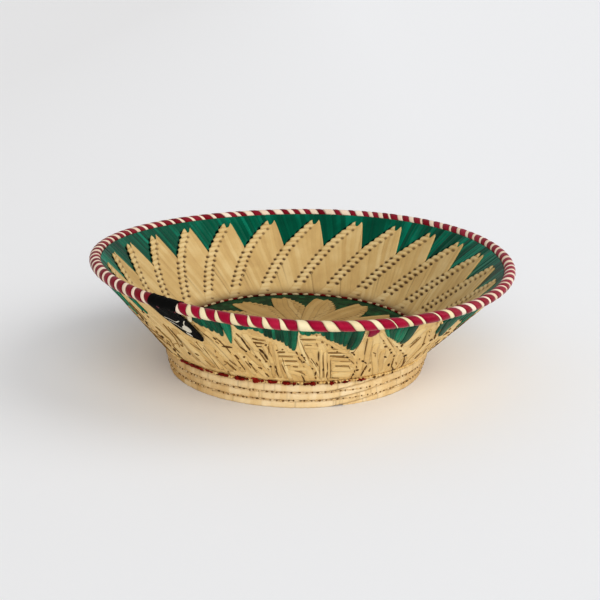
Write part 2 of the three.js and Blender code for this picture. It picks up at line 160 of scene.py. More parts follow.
def near_edges(share, width):
    """1 at both edges of a strip, fading to 0 inside."""
    return np.exp(-(np.minimum(share, 1 - share) / width) ** 2)


def circle(sides):
    return np.arange(sides) / sides * 2 * math.pi


def running(values):
    """Running sums, from 0."""
    return np.concatenate([[0], np.cumsum(values)])


def round_grid(low, high, rows, columns):
    """A grid round the whole basket: a measure up its rows, and degrees along its columns."""
    turns = np.linspace(-180, 180, columns, endpoint=False)
    return np.meshgrid(np.linspace(low, high, rows), turns, indexing="ij")


def own_turns(rng, kinds, key, part, lean, tones):
    """Each leaf turn's slant over its width, and its tone."""
    slant = rng.uniform(-lean, lean, kinds)[key] * (part - 0.5)
    return slant, rng.uniform(*tones, kinds)[key]


def stacked(*parts):
    """Arrays brought to one shape and stacked as the columns of points."""
    return np.stack(np.broadcast_arrays(*parts), -1)


# Colours and node materials
def paint(code):
    """Linear colour from a web colour code."""
    parts = [int(code[i:i + 2], 16) / 255 for i in (1, 3, 5)]
    linear = [p / 12.92 if p <= 0.04045 else ((p + 0.055) / 1.055) ** 2.4 for p in parts]
    return (*linear, 1.0)


def fill(tree, socket, value):
    """Joins a socket to another one, or sets its value."""
    if isinstance(value, bpy.types.NodeSocket):
        tree.links.new(value, socket)
    elif value is not None:
        socket.default_value = value


def wire(tree, kind, values=None, **settings):
    """Adds a node to the right of the last one, sets it up, and joins or fills its inputs."""
    made = tree.nodes.new(kind)
    made.location = (220 * len(tree.nodes), 0)
    for name, value in settings.items():
        setattr(made, name, value)
    for name, value in (values or {}).items():
        fill(tree, made.inputs[name], value)
    return made


def mixed(tree, factor, first, second):
    node = wire(tree, "ShaderNodeMix", data_type="RGBA")
    for place, value in ((0, factor), (6, first), (7, second)):
        fill(tree, node.inputs[place], value)
    return node.outputs[2]


def math_node(tree, operation, first, second=None, clamp=False):
    node = wire(tree, "ShaderNodeMath", operation=operation, use_clamp=clamp)
    for socket, value in zip(node.inputs, (first, second)):
        fill(tree, socket, value)
    return node.outputs[0]


def math_chain(tree, value, *steps):
    """A row of math nodes: each step is an operation and its second value."""
    for operation, second in steps:
        value = math_node(tree, operation, value, second)
    return value


def new_material(name):
    material = bpy.data.materials.new(name)
    material.use_nodes = True
    material.node_tree.nodes.clear()
    return material, material.node_tree


def close_material(tree, surface):
    output = wire(tree, "ShaderNodeOutputMaterial")
    tree.links.new(surface.outputs["BSDF"], output.inputs["Surface"])


FIBRE_WIDTH, FIBRE_LENGTH = 0.35, 9.0


def leaf_fibre_group():
    """Long fibre lines of a leaf strip, from its own map in millimetres, and broad blotches."""
    group = bpy.data.node_groups.new("leaf_fibre", "ShaderNodeTree")
    kind = "NodeSocketFloat"
    for label, value in (("Fibre Width", FIBRE_WIDTH), ("Fibre Length", FIBRE_LENGTH)):
        socket = group.interface.new_socket(name=label, in_out="INPUT", socket_type=kind)
        socket.default_value = value
    for label in ("Fibre", "Blotch"):
        group.interface.new_socket(name=label, in_out="OUTPUT", socket_type=kind)
    source, target = group.nodes.new("NodeGroupInput"), group.nodes.new("NodeGroupOutput")
    lay = wire(group, "ShaderNodeUVMap", uv_map="lay")
    split = wire(group, "ShaderNodeSeparateXYZ", {"Vector": lay.outputs["UV"]})
    across = math_node(group, "DIVIDE", split.outputs["X"], source.outputs["Fibre Width"])
    down = math_node(group, "DIVIDE", split.outputs["Y"], source.outputs["Fibre Length"])
    stretched = wire(group, "ShaderNodeCombineXYZ", {"X": across, "Y": down})
    fine = wire(group, "ShaderNodeTexNoise", {
        "Vector": stretched.outputs["Vector"], "Scale": 1.0, "Detail": 4.0, "Roughness": 0.65})
    place = wire(group, "ShaderNodeTexCoord")
    broad = wire(group, "ShaderNodeTexNoise", {
        "Vector": place.outputs["Object"], "Scale": 55.0, "Detail": 3.0, "Roughness": 0.55})
    group.links.new(fine.outputs["Fac"], target.inputs["Fibre"])
    group.links.new(broad.outputs["Fac"], target.inputs["Blotch"])
    return group


LEAF_FIBRE = leaf_fibre_group()
BLOTCHES = 0.7
ROUGHER, SMOOTHER = 0.12, 0.08


def leaf_finish(name, colours, shadow, roughness, fibre=FIBRE_WIDTH, fibre_length=FIBRE_LENGTH,
                relief=0.25, gloss=0.3, streak=0.5, tint="#ffffff"):
    """Dyed or plain leaf: tone by strip, fibre lines, and painted shade in holes and along edges.
    """
    material, tree = new_material(name)
    grain = wire(tree, "ShaderNodeGroup", node_tree=LEAF_FIBRE)
    grain.inputs["Fibre Width"].default_value = fibre
    grain.inputs["Fibre Length"].default_value = fibre_length
    tone = wire(tree, "ShaderNodeAttribute", attribute_name="tone")
    dark = wire(tree, "ShaderNodeAttribute", attribute_name="dark")
    wander = math_chain(tree, grain.outputs["Fibre"], ("SUBTRACT", 0.5), ("MULTIPLY", streak))
    blotch = math_chain(tree, grain.outputs["Blotch"], ("SUBTRACT", 0.5), ("MULTIPLY", BLOTCHES))
    shade = math_node(tree, "ADD", tone.outputs["Fac"], wander)
    shade = math_node(tree, "ADD", shade, blotch, clamp=True)
    ramp = wire(tree, "ShaderNodeValToRGB", {"Fac": shade})
    stops = ramp.color_ramp.elements
    stops[0].color, stops[1].color = paint(colours[0]), paint(colours[-1])
    for step, code in enumerate(colours[1:-1], 1):
        stops.new(step / (len(colours) - 1)).color = paint(code)
    # Painted shade: the dark attribute mixes in the shadow colour
    coloured = mixed(tree, dark.outputs["Fac"], ramp.outputs["Color"], paint(shadow))
    rough = wire(tree, "ShaderNodeMapRange", {
        "Value": grain.outputs["Fibre"],
        "To Min": roughness - SMOOTHER,
        "To Max": roughness + ROUGHER,
    })
    bump = wire(tree, "ShaderNodeBump", {
        "Height": grain.outputs["Fibre"], "Strength": relief, "Distance": 0.0004})
    surface = wire(tree, "ShaderNodeBsdfPrincipled", {
        "Base Color": coloured,
        "Roughness": rough.outputs["Result"],
        "Normal": bump.outputs["Normal"],
        "Specular IOR Level": gloss,
        "Specular Tint": paint(tint),
    })
    close_material(tree, surface)
    return material


NATURAL_INSIDE = leaf_finish(
    "natural_leaf_inside", ("#ab864f", "#c6a466", "#dfc68f"), "#4a2e0e", 0.5, relief=0.2)
NATURAL_OUTSIDE = leaf_finish(
    "natural_leaf_outside", ("#bf944f", "#e6c07a", "#f9dea0"), "#43290e", 0.5, relief=0.3)
# Painted shade: the floor's natural leaf is a darker copy of the wall's
NATURAL_FLOOR_SHADED = leaf_finish(
    "natural_leaf_floor_painted_shade", ("#92703a", "#ab874b", "#c0a168"), "#34210c", 0.52, relief=0.2)
GREEN_LEAF = leaf_finish(
    "green_leaf", ("#002a1c", "#004c36", "#048064"), "#000402", 0.34, fibre_length=20.0,
    relief=0.25, gloss=0.45, tint="#10a080", streak=0.7)
GREEN_OUTSIDE = leaf_finish(
    "green_leaf_outside", ("#01281a", "#07543a", "#149068"), "#000402", 0.42, fibre_length=20.0,
    relief=0.25, gloss=0.05, tint="#10a080", streak=1.1)
# Painted shade: the floor's green is darker than the wall's; its low gloss is the leaf's own
GREEN_FLOOR_SHADED = leaf_finish(
    "green_leaf_floor_painted_shade", ("#10281a", "#1b4226", "#1f6a44"), "#000402", 0.5, fibre_length=12.0,
    relief=0.2, gloss=0.04, tint="#10a080", streak=0.6)
STEP_SHADE = leaf_finish(
    "shade_in_steps", ("#000402", "#02120b", "#052a1c"), "#000402", 0.8, relief=0.1, gloss=0.02)
CRIMSON_LEAF = leaf_finish(
    "crimson_leaf", ("#6e0319", "#900828", "#b42240"), "#2a020c", 0.32, relief=0.3,
    gloss=0.5, tint="#f04a78", streak=0.9)
# Painted shade: a darker copy of the crimson leaf for the rim away from the front
CRIMSON_SHADED = leaf_finish(
    "crimson_leaf_painted_shade", ("#560610", "#78101c", "#96283a"), "#2a020c", 0.4, relief=0.3,
    gloss=0.25, tint="#d04060", streak=0.9)
CREAM_LEAF = leaf_finish(
    "cream_leaf", ("#d8c595", "#ead9ae", "#f4e9c9"), "#7a5a33", 0.42, relief=0.2)
# Painted shade: a pinker copy of the cream leaf for the rim away from the front, as the cream looks
# in shade
CREAM_SHADED = leaf_finish(
    "cream_leaf_painted_shade", ("#d9bca0", "#ecd5bd", "#f6e7d6"), "#7a3f38", 0.42, relief=0.2)
CRIMSON_OUTSIDE = leaf_finish(
    "crimson_leaf_outside", ("#6c0224", "#960a36", "#b8284e"), "#2a020c", 0.45, relief=0.3,
    gloss=0.06)
SEAM_RED = leaf_finish(
    "seam_red_leaf", ("#360403", "#700f0a", "#a22c1e"), "#1c0302", 0.5, relief=0.4,
    gloss=0.2, tint="#c04828", streak=0.9)
GRASS = leaf_finish(
    "grass_bundle", ("#8b6d38", "#a98a52", "#c2a56c"), "#4a3515", 0.75, fibre=0.6, relief=0.6)
# Painted shade: dark grass for gaps, slits, pricks and knots
SHADED_GRASS = leaf_finish(
    "grass_painted_shade", ("#341d08", "#7a5324", "#bb9358"), "#1f0f03", 0.8, relief=0.4, gloss=0.1)
FOOT_LEAF = leaf_finish(
    "foot_leaf", ("#c1944e", "#e8ca94", "#f9e8c6"), "#5c3c16", 0.5, relief=0.3)


# Meshes
def signed_volume(points, polygons):
    total = 0.0
    for group in polygons:
        first = points[group[:, 0]]
        for corner in range(1, group.shape[1] - 1):
            second = points[group[:, corner]]
            third = points[group[:, corner + 1]]
            total += float(np.einsum("ij,ij->i", first, np.cross(second, third)).sum())
    return total


def finished(name, points, polygons, material, slot, node, uv, tone, dark):
    """Closed mesh from points and groups of equal-sided polygons, faces turned outward."""
    if signed_volume(points, polygons) < 0:
        polygons = [group[:, ::-1] for group in polygons]
    corners = np.concatenate([group.ravel() for group in polygons]).astype(np.int32)
    sizes = np.concatenate([np.full(len(group), group.shape[1]) for group in polygons])
    starts = running(sizes)[:-1].astype(np.int32)
    mesh = bpy.data.meshes.new(name)
    mesh.vertices.add(len(points))
    mesh.vertices.foreach_set("co", points.astype(np.float32).ravel())
    mesh.loops.add(len(corners))
    mesh.loops.foreach_set("vertex_index", corners)
    mesh.polygons.add(len(sizes))
    mesh.polygons.foreach_set("loop_start", starts)
    mesh.update(calc_edges=True)
    mesh.validate()
    layer = mesh.uv_layers.new(name="lay")
    order = np.zeros(len(mesh.loops), np.int32)
    mesh.loops.foreach_get("vertex_index", order)
    layer.data.foreach_set("uv", uv[order].astype(np.float32).ravel())
    for label, values in (("tone", tone), ("dark", dark)):
        attribute = mesh.attributes.new(label, "FLOAT", "POINT")
        attribute.data.foreach_set("value", np.asarray(values, np.float32).ravel())
    mesh.polygons.foreach_set("use_smooth", np.ones(len(sizes), bool))
    mesh.materials.append(material)
    piece = bpy.data.objects.new(name, mesh)
    bpy.context.scene.collection.objects.link(piece)
    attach(piece, "root")
    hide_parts(node)
    return piece


def cells(rows, columns):
    """Row and column of each cell of a grid, in two flat lists."""
    r, c = np.meshgrid(np.arange(rows), np.arange(columns), indexing="ij")
    return r.ravel(), c.ravel()


def thick_sheet(front, back, closes_round=False, step=6):
    """Points and polygons of a sheet: a fine front, a coarse back and closed edges."""
    rows, columns = front.shape[:2]
    span = columns if closes_round else columns - 1
    back_rows = sorted(set(list(range(0, rows - 1, step)) + [rows - 1]))
    back_columns = list(range(0, span, step))
    if not closes_round:
        back_columns.append(columns - 1)
    back_points = back[np.ix_(back_rows, back_columns)]
    points = np.concatenate([front.reshape(-1, 3), back_points.reshape(-1, 3)])
    base = rows * columns
    wide = len(back_columns)

    def fore(row, column):
        return row * columns + column % columns

    def rear(row, column):
        return base + row * wide + column % wide

    r, c = cells(rows - 1, span)
    groups = [np.stack([fore(r, c), fore(r, c + 1), fore(r + 1, c + 1), fore(r + 1, c)], 1)]
    wide_span = wide if closes_round else wide - 1
    r, c = cells(len(back_rows) - 1, wide_span)
    groups.append(np.stack([rear(r, c), rear(r + 1, c), rear(r + 1, c + 1), rear(r, c + 1)], 1))
    edges = []
    stops = back_columns + ([columns] if closes_round else [])
    bottom, top = rows - 1, len(back_rows) - 1
    for j in range(wide_span):
        low, high = stops[j], stops[j + 1]
        edges.append([fore(0, k) for k in range(high, low - 1, -1)] + [rear(0, j), rear(0, j + 1)])
        near_side = [fore(bottom, k) for k in range(low, high + 1)]
        edges.append(near_side + [rear(top, j + 1), rear(top, j)])
    if not closes_round:
        last, end = columns - 1, wide - 1
        for j in range(top):
            low, high = back_rows[j], back_rows[j + 1]
            edges.append([fore(k, 0) for k in range(low, high + 1)] + [rear(j + 1, 0), rear(j, 0)])
            far_side = [fore(k, last) for k in range(high, low - 1, -1)]
            edges.append(far_side + [rear(j, end), rear(j + 1, end)])
    for size in sorted({len(edge) for edge in edges}):
        groups.append(np.array([edge for edge in edges if len(edge) == size]))
    return points, groups, np.ix_(back_rows, back_columns)


def sheet_piece(name, front, back, material, slot, node, uv, tone, dark,
                closes_round=False, step=6):
    """A sheet as one piece; its leaf map, tone and darkness are given for the front's points."""
    points, groups, picks = thick_sheet(front, back, closes_round, step)

    def both(values, *width):
        """The front's values, then those picked out of them for the back."""
        flat = np.broadcast_to(values, front.shape[:2] + width)
        return np.concatenate([flat.reshape(-1, *width), flat[picks].reshape(-1, *width)])

    return finished(name, points, groups, material, slot, node, both(uv, 2), both(tone), both(dark))


class StripHeap:
    """Many small closed strips that end up as one piece."""

    def __init__(self):
        self.points, self.groups, self.uv, self.tone, self.dark = [], {}, [], [], []
        self.count = 0

    def add(self, rings, uv, tone, dark):
        """rings is (length, around, 3): closed sections, joined and capped."""
        length, around = rings.shape[:2]
        k, a = cells(length - 1, around)
        here, following = k * around, (k + 1) * around
        b = (a + 1) % around
        quads = np.stack([here + a, here + b, following + b, following + a], 1)
        caps = np.stack([np.arange(around)[::-1], (length - 1) * around + np.arange(around)])
        points = rings.reshape(-1, 3)
        if signed_volume(points - points.mean(0), [quads, caps]) < 0:
            quads, caps = quads[:, ::-1], caps[:, ::-1]
        self.groups.setdefault(4, []).append(quads + self.count)
        self.groups.setdefault(around, []).append(caps + self.count)
        self.points.append(points)
        self.uv.append(uv.reshape(-1, 2))
        for held, values in ((self.tone, tone), (self.dark, dark)):
            held.append(np.broadcast_to(values, (length, around)).reshape(-1))
        self.count += length * around

    def piece(self, name, material, slot, node):
        groups = [np.concatenate(self.groups[size]) for size in sorted(self.groups)]
        points, *values = map(np.concatenate, (self.points, self.uv, self.tone, self.dark))
        return finished(name, points, groups, material, slot, node, *values)


# A laid strip: its underside's half width, as a share, and the shade on its sides and below it
STRIP_UNDER = 0.92
STRIP_SHADE = (0.18, 0.6)


def strip_shade(steps, across, sides, under):
    """Darkness over a strip's sections: some at the two edges of its top, and more below it."""
    shade = np.zeros((steps, across + 2))
    shade[:, [0, across - 1]] = sides
    shade[:, across:] = under
    return shade


def wall_strip(heap, along, degrees, half_width, lift, side, tone,
               thickness=0.35, crown=0.25, across=4, dark=0.0):
    """A leaf strip lying on the wall; side is 1 outside and -1 inside the bowl.

    Its leaf map shifts with its tone and place, so that no two strips show the same fibres.
    """
    along, degrees = np.asarray(along, float), np.asarray(degrees, float)
    radius, _ = wall_radius_height(along, side * LEAF_OUTSIDE)
    arc = radius * DEGREE
    run, turn = np.gradient(along), np.gradient(degrees) * arc
    length = np.hypot(run, turn)
    run, turn = run / length, turn / length
    travelled = running(np.hypot(np.diff(along), np.diff(degrees) * arc[1:]))
    rings, uvs = [], []
    for share in (*np.linspace(-1, 1, across), STRIP_UNDER, -STRIP_UNDER):
        top = len(rings) < across
        sideways = half_width * share
        height = lift + crown * (1 - share**2) if top else lift - thickness
        outward = side * (LEAF_OUTSIDE + height)
        rings.append(on_wall(along - sideways * turn, degrees + sideways * run / arc, outward))
        uvs.append(stacked(sideways + 13.7 * tone + degrees[0], travelled + along[0]))
    shade = strip_shade(len(along), across, *STRIP_SHADE)
    heap.add(np.stack(rings, 1), np.stack(uvs, 1), tone, np.clip(shade + dark, 0, 1))


# Inner wall: leaf panels, each a slanted field of floats with a row of knots on its left
KNOT_SPAN = 7.4
FLOAT_TURN = ROW_SLOPE + 0.10
# Random values that a panel draws for each kind, to be used again and again
KINDS = 64
# The hole rows' courses, counted from the notch: first, last, last on the left, and one more below
ROWS_FROM, ROWS_TO, LEFT_ROWS_TO, STRAY_ROW = -8, 4, -1, -10


def left_edge(index, along):
    """Degrees of a panel's left edge: a slant with the rows, then the tooth's stepped side."""
    above = along - NOTCH_ALONG
    left, right = notch_angle(index + 1), notch_angle(index)
    slant = (left - right - STRAIGHT_TURN - TIP_TURN) / TOOTH_HEIGHT
    return left - np.where(above > 0, slant, ROW_SLOPE) * above


def right_edge(index, along):
    """Degrees of a panel's right edge: a slant with the rows, then the tooth's straight side."""
    above = along - NOTCH_ALONG
    return notch_angle(index) + np.where(above > 0, STRAIGHT_SLOPE, -ROW_SLOPE) * above


def pit(across, phase, wide, tall, slant=0.7):
    """Strength from 0 to 1 inside a round hole on a course line; slant follows the row of holes."""
    down = (phase - np.round(phase)) * COURSE
    return np.clip(1.25 - ((across + slant * down) / wide) ** 2 - (down / tall) ** 2, 0, 1)


def panel_fields(index, along, degrees):
    """Relief, tone, painted shade and leaf map over a panel's face."""
    rng = np.random.default_rng(300 + index)
    radius, _ = wall_radius_height(along, -LEAF_OUTSIDE)
    arc = radius * DEGREE
    from_left = (left_edge(index, along) - degrees) * arc
    from_right = (degrees - right_edge(index, along)) * arc
    phase = (along - NOTCH_ALONG) / COURSE
    course, rise = numbered(phase)
    line = np.round(phase).astype(int)
    spread = rng.uniform(-0.35, 0.35, KINDS)
    aside = math.cos(notch_angle(index) * DEGREE) ** 2
    size = (1 + rng.uniform(-0.22, 0.22, KINDS)) * (1 + 0.7 * aside)
    right_kind, left_kind = line % KINDS, (line + 31) % KINDS

    # Knots on the left, and floats that cross the rest of the panel
    knot_across = np.clip(np.abs(from_left - KNOT_SPAN / 2) / (KNOT_SPAN * 0.56), 0, 1)
    knot_down = np.abs(2 * rise - 1)
    in_knots = np.clip((KNOT_SPAN + 0.6 - from_left) / 1.2, 0, 1)
    knots = (1 - knot_across**3) * (1 - knot_down**2.5)
    crossing = along + (from_left - KNOT_SPAN) / arc / FLOAT_TURN
    number, share = numbered((crossing - NOTCH_ALONG) / COURSE)
    lean = rng.uniform(-0.24, 0.24, KINDS)
    tones = rng.uniform(0.36, 0.7, KINDS)
    seconds = rng.uniform(0.3, 0.7, KINDS)
    doubled = rng.random(KINDS) < 0.25
    kind = number % KINDS
    part = np.where(doubled[kind] & (share > seconds[kind]), 1, 0)
    float_relief = lean[kind] * (share - 0.5) + 0.1 * dome(share) - 0.12 * part
    emerging = 1 - np.exp(-np.maximum(from_left - KNOT_SPAN, 0) / 1.6)
    pinch = np.exp(-np.maximum(from_right, 0) / 1.4) * (along < NOTCH_ALONG + 1)
    floats = float_relief * emerging - 0.35 * (1 - emerging)
    floats = floats - 0.3 * pinch * (1 - 0.8 * (1 - knot_down**2))
    above_bend = np.clip((along - NOTCH_ALONG + 8.6 * COURSE) / 3, 0, 1)
    relief = floats * (1 - in_knots) + (0.68 * knots * above_bend - 0.15) * in_knots

    # Splits between some floats, and the rows of holes
    offset = share * COURSE * 0.9
    split = np.zeros_like(along)
    for chosen in rng.choice(np.arange(-8, -1), 1 + int(rng.random() < 0.4), replace=False):
        reach = rng.uniform(14, 40)
        depth = np.clip(1 - (from_left - KNOT_SPAN) / reach, 0, 1)
        parted = (number == chosen) * np.exp(-((offset - 0.35) / 0.4) ** 2) * depth * (1 - in_knots)
        split = np.maximum(split, parted)
    right_rows = (line <= ROWS_TO) * ((line >= ROWS_FROM) | (line == STRAY_ROW))
    left_rows = (line <= LEFT_ROWS_TO) * (line >= ROWS_FROM)
    row_r = from_left - KNOT_SPAN + spread[right_kind]
    row_l = from_left - 0.2 + spread[left_kind] * 0.6
    hole_r = pit(row_r, phase, 1.4 * size[right_kind], 1.25) * right_rows
    hole_l = pit(row_l, phase, 1.5 * size[left_kind], 1.3) * left_rows
    hole_next = pit(from_right + 0.2, phase, 1.4, 1.25, -0.7) * left_rows
    faint = np.where(line > 0, 0.68, np.where(line == STRAY_ROW, 0.5, 1.0))
    holes = np.maximum(np.maximum(hole_r * faint, hole_l), hole_next)
    relief = relief - 0.8 * holes - 0.3 * split

    # Painted shade: in the holes and splits, in the creases between knots, along the floats' seams,
    # and darker toward the floor corner
    crease = 0.12 * in_knots * knot_down**6 * above_bend
    seam = 0.07 * np.exp(-(offset / 0.3) ** 2) * (1 - in_knots) * (0.3 + rng.random(KINDS)[kind])
    low = np.clip((16 - along) / 12, 0, 1) ** 1.6 * 0.85
    dark = np.clip(holes * 1.05 + split * 0.75 + crease + seam + low, 0, 1)
    knot_tone = 0.5 + 0.3 * knots + 0.2 * spread[course % KINDS]
    tone = np.where(in_knots > 0.5, knot_tone, tones[kind] - 0.08 * part)
    lay_u = np.where(in_knots > 0.5, along, share * 4.4 + kind * 7.7)
    lay_v = np.where(in_knots > 0.5, from_left, along)
    return relief, tone, dark, stacked(lay_u, lay_v + 31.0 * index)


PANEL_TOP_SHARES = (0.0, 0.07, 0.36, 0.5, 0.84, 1.0)
PANEL_TOP_OFFSETS = (-1.6, 0.2, -4.0, -4.4, 0.0, -2.4)
PANEL_START = 1.6


def leaf_panel(index):
    """One woven panel with its tooth: a fine face with relief over a flat back."""
    rows, columns = 150, 56
    share = np.linspace(0, 1, columns)[None, :]
    up = np.linspace(0, 1, rows)[:, None]
    top = TIP_ALONG + np.interp(share, PANEL_TOP_SHARES, PANEL_TOP_OFFSETS)
    along = PANEL_START + (top - PANEL_START) * up
    left = left_edge(index, along)
    right = right_edge(index, along)
    degrees = right + (left - right) * share
    above = along - NOTCH_ALONG
    _, rise = numbered(above / COURSE)
    rounded = np.clip((1 - rise) / 0.3, 0, 1) ** 0.5
    stair = STEPPED_TURN / TOOTH_HEIGHT * COURSE * ((rise - 0.5) * rounded - 0.5 * (1 - rounded))
    degrees = degrees + stair * np.clip(above / 2, 0, 1) * np.clip((share - 0.72) / 0.28, 0, 1)
    relief, tone, dark, lay = panel_fields(index, along, degrees)
    proud = np.interp(along, (0, 10, NOTCH_ALONG - 6, NOTCH_ALONG + 4), (0.1, 0.25, 0.35, 0.75))
    edge = np.minimum(share, 1 - share) * (left - right) * 2.2
    rolled = np.where(above > 0, 0.35 * np.clip(1 - edge / 0.9, 0, 1) ** 2, 0)
    level = LEAF_OUTSIDE + proud + relief - rolled
    front = on_wall(along, degrees, -level)
    under = np.interp(along, (0, NOTCH_ALONG - 6, NOTCH_ALONG + 4), (0.0, 0.0, 0.45)) + LEAF_INSIDE
    back = on_wall(along, degrees, -np.minimum(under, level - 0.15))
    number = f"{index + 1:02d}"
    sheet_piece(f"panel_{number}_woven", front, back, NATURAL_INSIDE, "leaf_natural",
                f"wall_leaf_panel_{number}", lay, tone, dark)


for panel in range(TOOTH_COUNT):
    leaf_panel(panel)


# Green leaf between the teeth inside: upright strands, with this many millimetres to a degree
GREEN_ARC = 2.45


def green_inside():
    """Strands up to the rim, with painted shade beside the teeth's steps and along strand edges,
    pressed flat under the panels.
    """
    along, degrees = round_grid(NOTCH_ALONG - 3.5, WALL_LENGTH - RIM_HEIGHT / 2 + GAP, 56, 1500)
    rng = np.random.default_rng(11)
    edges = np.cumsum(rng.uniform(0.9, 1.9, 300))
    edges = edges[edges < 360]
    edges = np.concatenate([[0], edges * 360 / edges[-1]])
    slope = STRAIGHT_SLOPE - 0.28 * np.exp(-(((degrees - 15.0) / 38.0) ** 2))
    strands = (degrees - slope * (along - NOTCH_ALONG) + 180) % 360
    number = np.clip(np.searchsorted(edges, strands, side="right") - 1, 0, len(edges) - 2)
    share = (strands - edges[number]) / (edges[number + 1] - edges[number])
    lean = rng.uniform(-0.5, 0.5, len(edges))
    tones = rng.uniform(-1.0, 1.0, len(edges))
    # Painted highlight: strand tones spread widely round the sides, where the green shows
    # highlights, and less at the back
    behind = np.exp(-(((edges[:-1] - 270.0) / 55.0) ** 4))
    tones[:-1] = 0.5 + tones[:-1] * (0.5 - 0.28 * behind)
    relief = lean[number] * (share - 0.5) + 0.12 * dome(share)
    _, rise = numbered((along - NOTCH_ALONG) / COURSE)
    step = (rise - 0.5) * COURSE * STEPPED_TURN / TOOTH_HEIGHT
    shadow, covered = np.zeros_like(along), np.zeros_like(along)
    for index in range(TOOTH_COUNT):
        left, right = left_edge(index, along), right_edge(index, along)
        turn = half_turn(degrees - left)
        beside = ((turn - step) * GREEN_ARC - 0.9) / 1.5
        near = 1.9 * np.exp(-beside ** 4 - ((rise - 0.32) / 0.3) ** 2)
        near = near * (np.abs(turn) < 8) * (along < TIP_ALONG) * (along > NOTCH_ALONG - 1)
        shadow = np.maximum(shadow, np.clip(near, 0, 1))
        margin = np.minimum(half_turn(degrees - right), half_turn(left - degrees)) * GREEN_ARC
        covered = np.maximum(covered, np.clip((margin - 1.4) / 0.8, 0, 1) * (along < TIP_ALONG - 6))
    covered = np.maximum(covered, np.clip((NOTCH_ALONG - 0.5 - along) / 0.8, 0, 1))
    # Painted shade along the strands' edges, and beside the teeth's steps
    seam = near_edges(share, 0.07) * 0.3 * rng.random(len(edges))[number]
    dark = np.clip(seam + shadow, 0, 1)
    level = LEAF_OUTSIDE - 0.25 + relief - 0.5 * shadow
    level = level + (LEAF_INSIDE + 0.15 - level) * covered
    front = on_wall(along, degrees, -level)
    back = on_wall(along, degrees, -(LEAF_INSIDE + 0.05 + 0 * along))
    lay = stacked(strands * 2.4 + number * 3.1, along)
    sheet_piece("green_border_inside", front, back, GREEN_LEAF, "leaf_green",
                "wall_leaf_green_inside", lay, tones[number], dark, closes_round=True)


green_inside()


def shade_at_steps():
    """Dark patches laid on the green in the corners of the teeth's stepped edges, as painted shade.
    """
    heap = StripHeap()
    rng = np.random.default_rng(17)
    for index in range(TOOTH_COUNT):
        for course in range(6):
            line = NOTCH_ALONG + course * COURSE
            edge = float(left_edge(index, np.array(line + COURSE / 2)))
            reach = rng.uniform(0.85, 1.15)
            along = line + np.array((-0.5, 0.3, 1.1, 1.9)) * reach
            degrees = edge + np.array((0.62, 0.55, 0.35, 0.1)) * reach
            half = np.array((1.5, 1.4, 1.0, 0.4)) * reach
            wall_strip(heap, along, degrees, half, 0.12, -1, 0.2, 0.5, 0.1)
    heap.piece("painted_shade_at_steps", STEP_SHADE, "leaf_green", "wall_leaf_green_inside")


shade_at_steps()


# Rim: crimson and cream strips wound side by side round the core
FRONT_CRIMSON = (
    (-119.4, -116.7), (-115.7, -113.1), (-111.9, -109.1), (-108.7, -105.3), (-104.4, -101.1),
    (-100.8, -97.7), (-96.9, -93.7), (-93.1, -89.8), (-87.4, -84.0), (-81.4, -78.0), (-75.6, -72.7),
    (-70.9, -67.9), (-67.6, -64.6), (-63.3, -60.7), (-59.9, -55.7), (-55.1, -52.4),
)
BACK_CRIMSON = (
    (60.6, 62.4), (64.2, 65.9), (67.7, 69.4), (72.2, 73.9), (77.3, 79.0), (82.7, 84.7),
    (87.3, 89.0), (90.9, 92.6), (94.5, 96.2), (99.1, 100.8), (103.7, 106.0), (108.7, 110.4),
    (112.0, 113.7),
)
WINDING = 5.4
STRIP_PITCH = 3.9
# The binding's section is open where the wall enters, and its ends tuck in a little
RIM_MOUTH = 46 * DEGREE
RIM_TUCK = 0.06
RIM_SHADE = (0.35, 0.8)
# In front the bands stand more upright on the outer side, as far round as these degrees
FRONT_LEANS = ((-93, 0.3), (-84, 0.75))


def crimson_spans():
    """Where each crimson strip lies on the rim's crest, in degrees, all the way round."""
    rng = np.random.default_rng(5)
    front = [(a - WINDING * 0.22, b - WINDING * 0.22) for a, b in FRONT_CRIMSON]
    back = [(a + WINDING * 0.14, b + WINDING * 0.14) for a, b in BACK_CRIMSON]
    spans = list(front)
    for start, stop in ((front[-1][0], back[0][0]), (back[-1][0], front[0][0] + 360)):
        room = stop - start
        count = int(round(room / STRIP_PITCH))
        pitches = rng.uniform(0.86, 1.14, count)
        places = start + np.cumsum(pitches) * room / pitches.sum()
        spans += [(place, place + room / count * rng.uniform(0.54, 0.68)) for place in places[:-1]]
    return sorted(spans + list(back))


def rim_band(heap, start, stop, rng, proud, leans=(1.0, 1.0), painted_light=0.0):
    """One strip's turn round the rim, from the outer leaf over the crest to the inner leaf."""
    steps, across = 20, 6
    first = WALL_LEAN + math.pi + RIM_MOUTH - RIM_TUCK
    last = first + 2 * math.pi - 2 * RIM_MOUTH + 2 * RIM_TUCK
    around = np.linspace(first, last, steps) - 2 * math.pi
    crest = math.pi / 2
    slide = -WINDING * (around - crest) / (2 * math.pi)
    wobble = rng.uniform(-0.12, 0.12) * np.sin(around * 2 + rng.uniform(0, 6))
    tilt = rng.uniform(-0.12, 0.12)
    rings, uvs = [], []
    for share in (*np.linspace(0, 1, across), 0.94, 0.06):
        top = len(rings) < across
        crown = 0.34 * (1 - (2 * share - 1) ** 4)
        bulge = proud + crown + tilt * (share - 0.5) if top else -0.55
        lean = np.where(around < crest, leans[0] + (leans[1] - leans[0]) * share, 1.0)
        degrees = start + (stop - start) * share + slide * lean + wobble
        rings.append(on_rim(around, degrees, bulge))
        uvs.append(stacked(share * (stop - start) * 2.6 + start * 3.3, around * 3.4))
    shade = strip_shade(steps, across, *RIM_SHADE)
    heap.add(np.stack(rings, 1), np.stack(uvs, 1), rng.uniform(0.3, 0.7) + painted_light, shade)


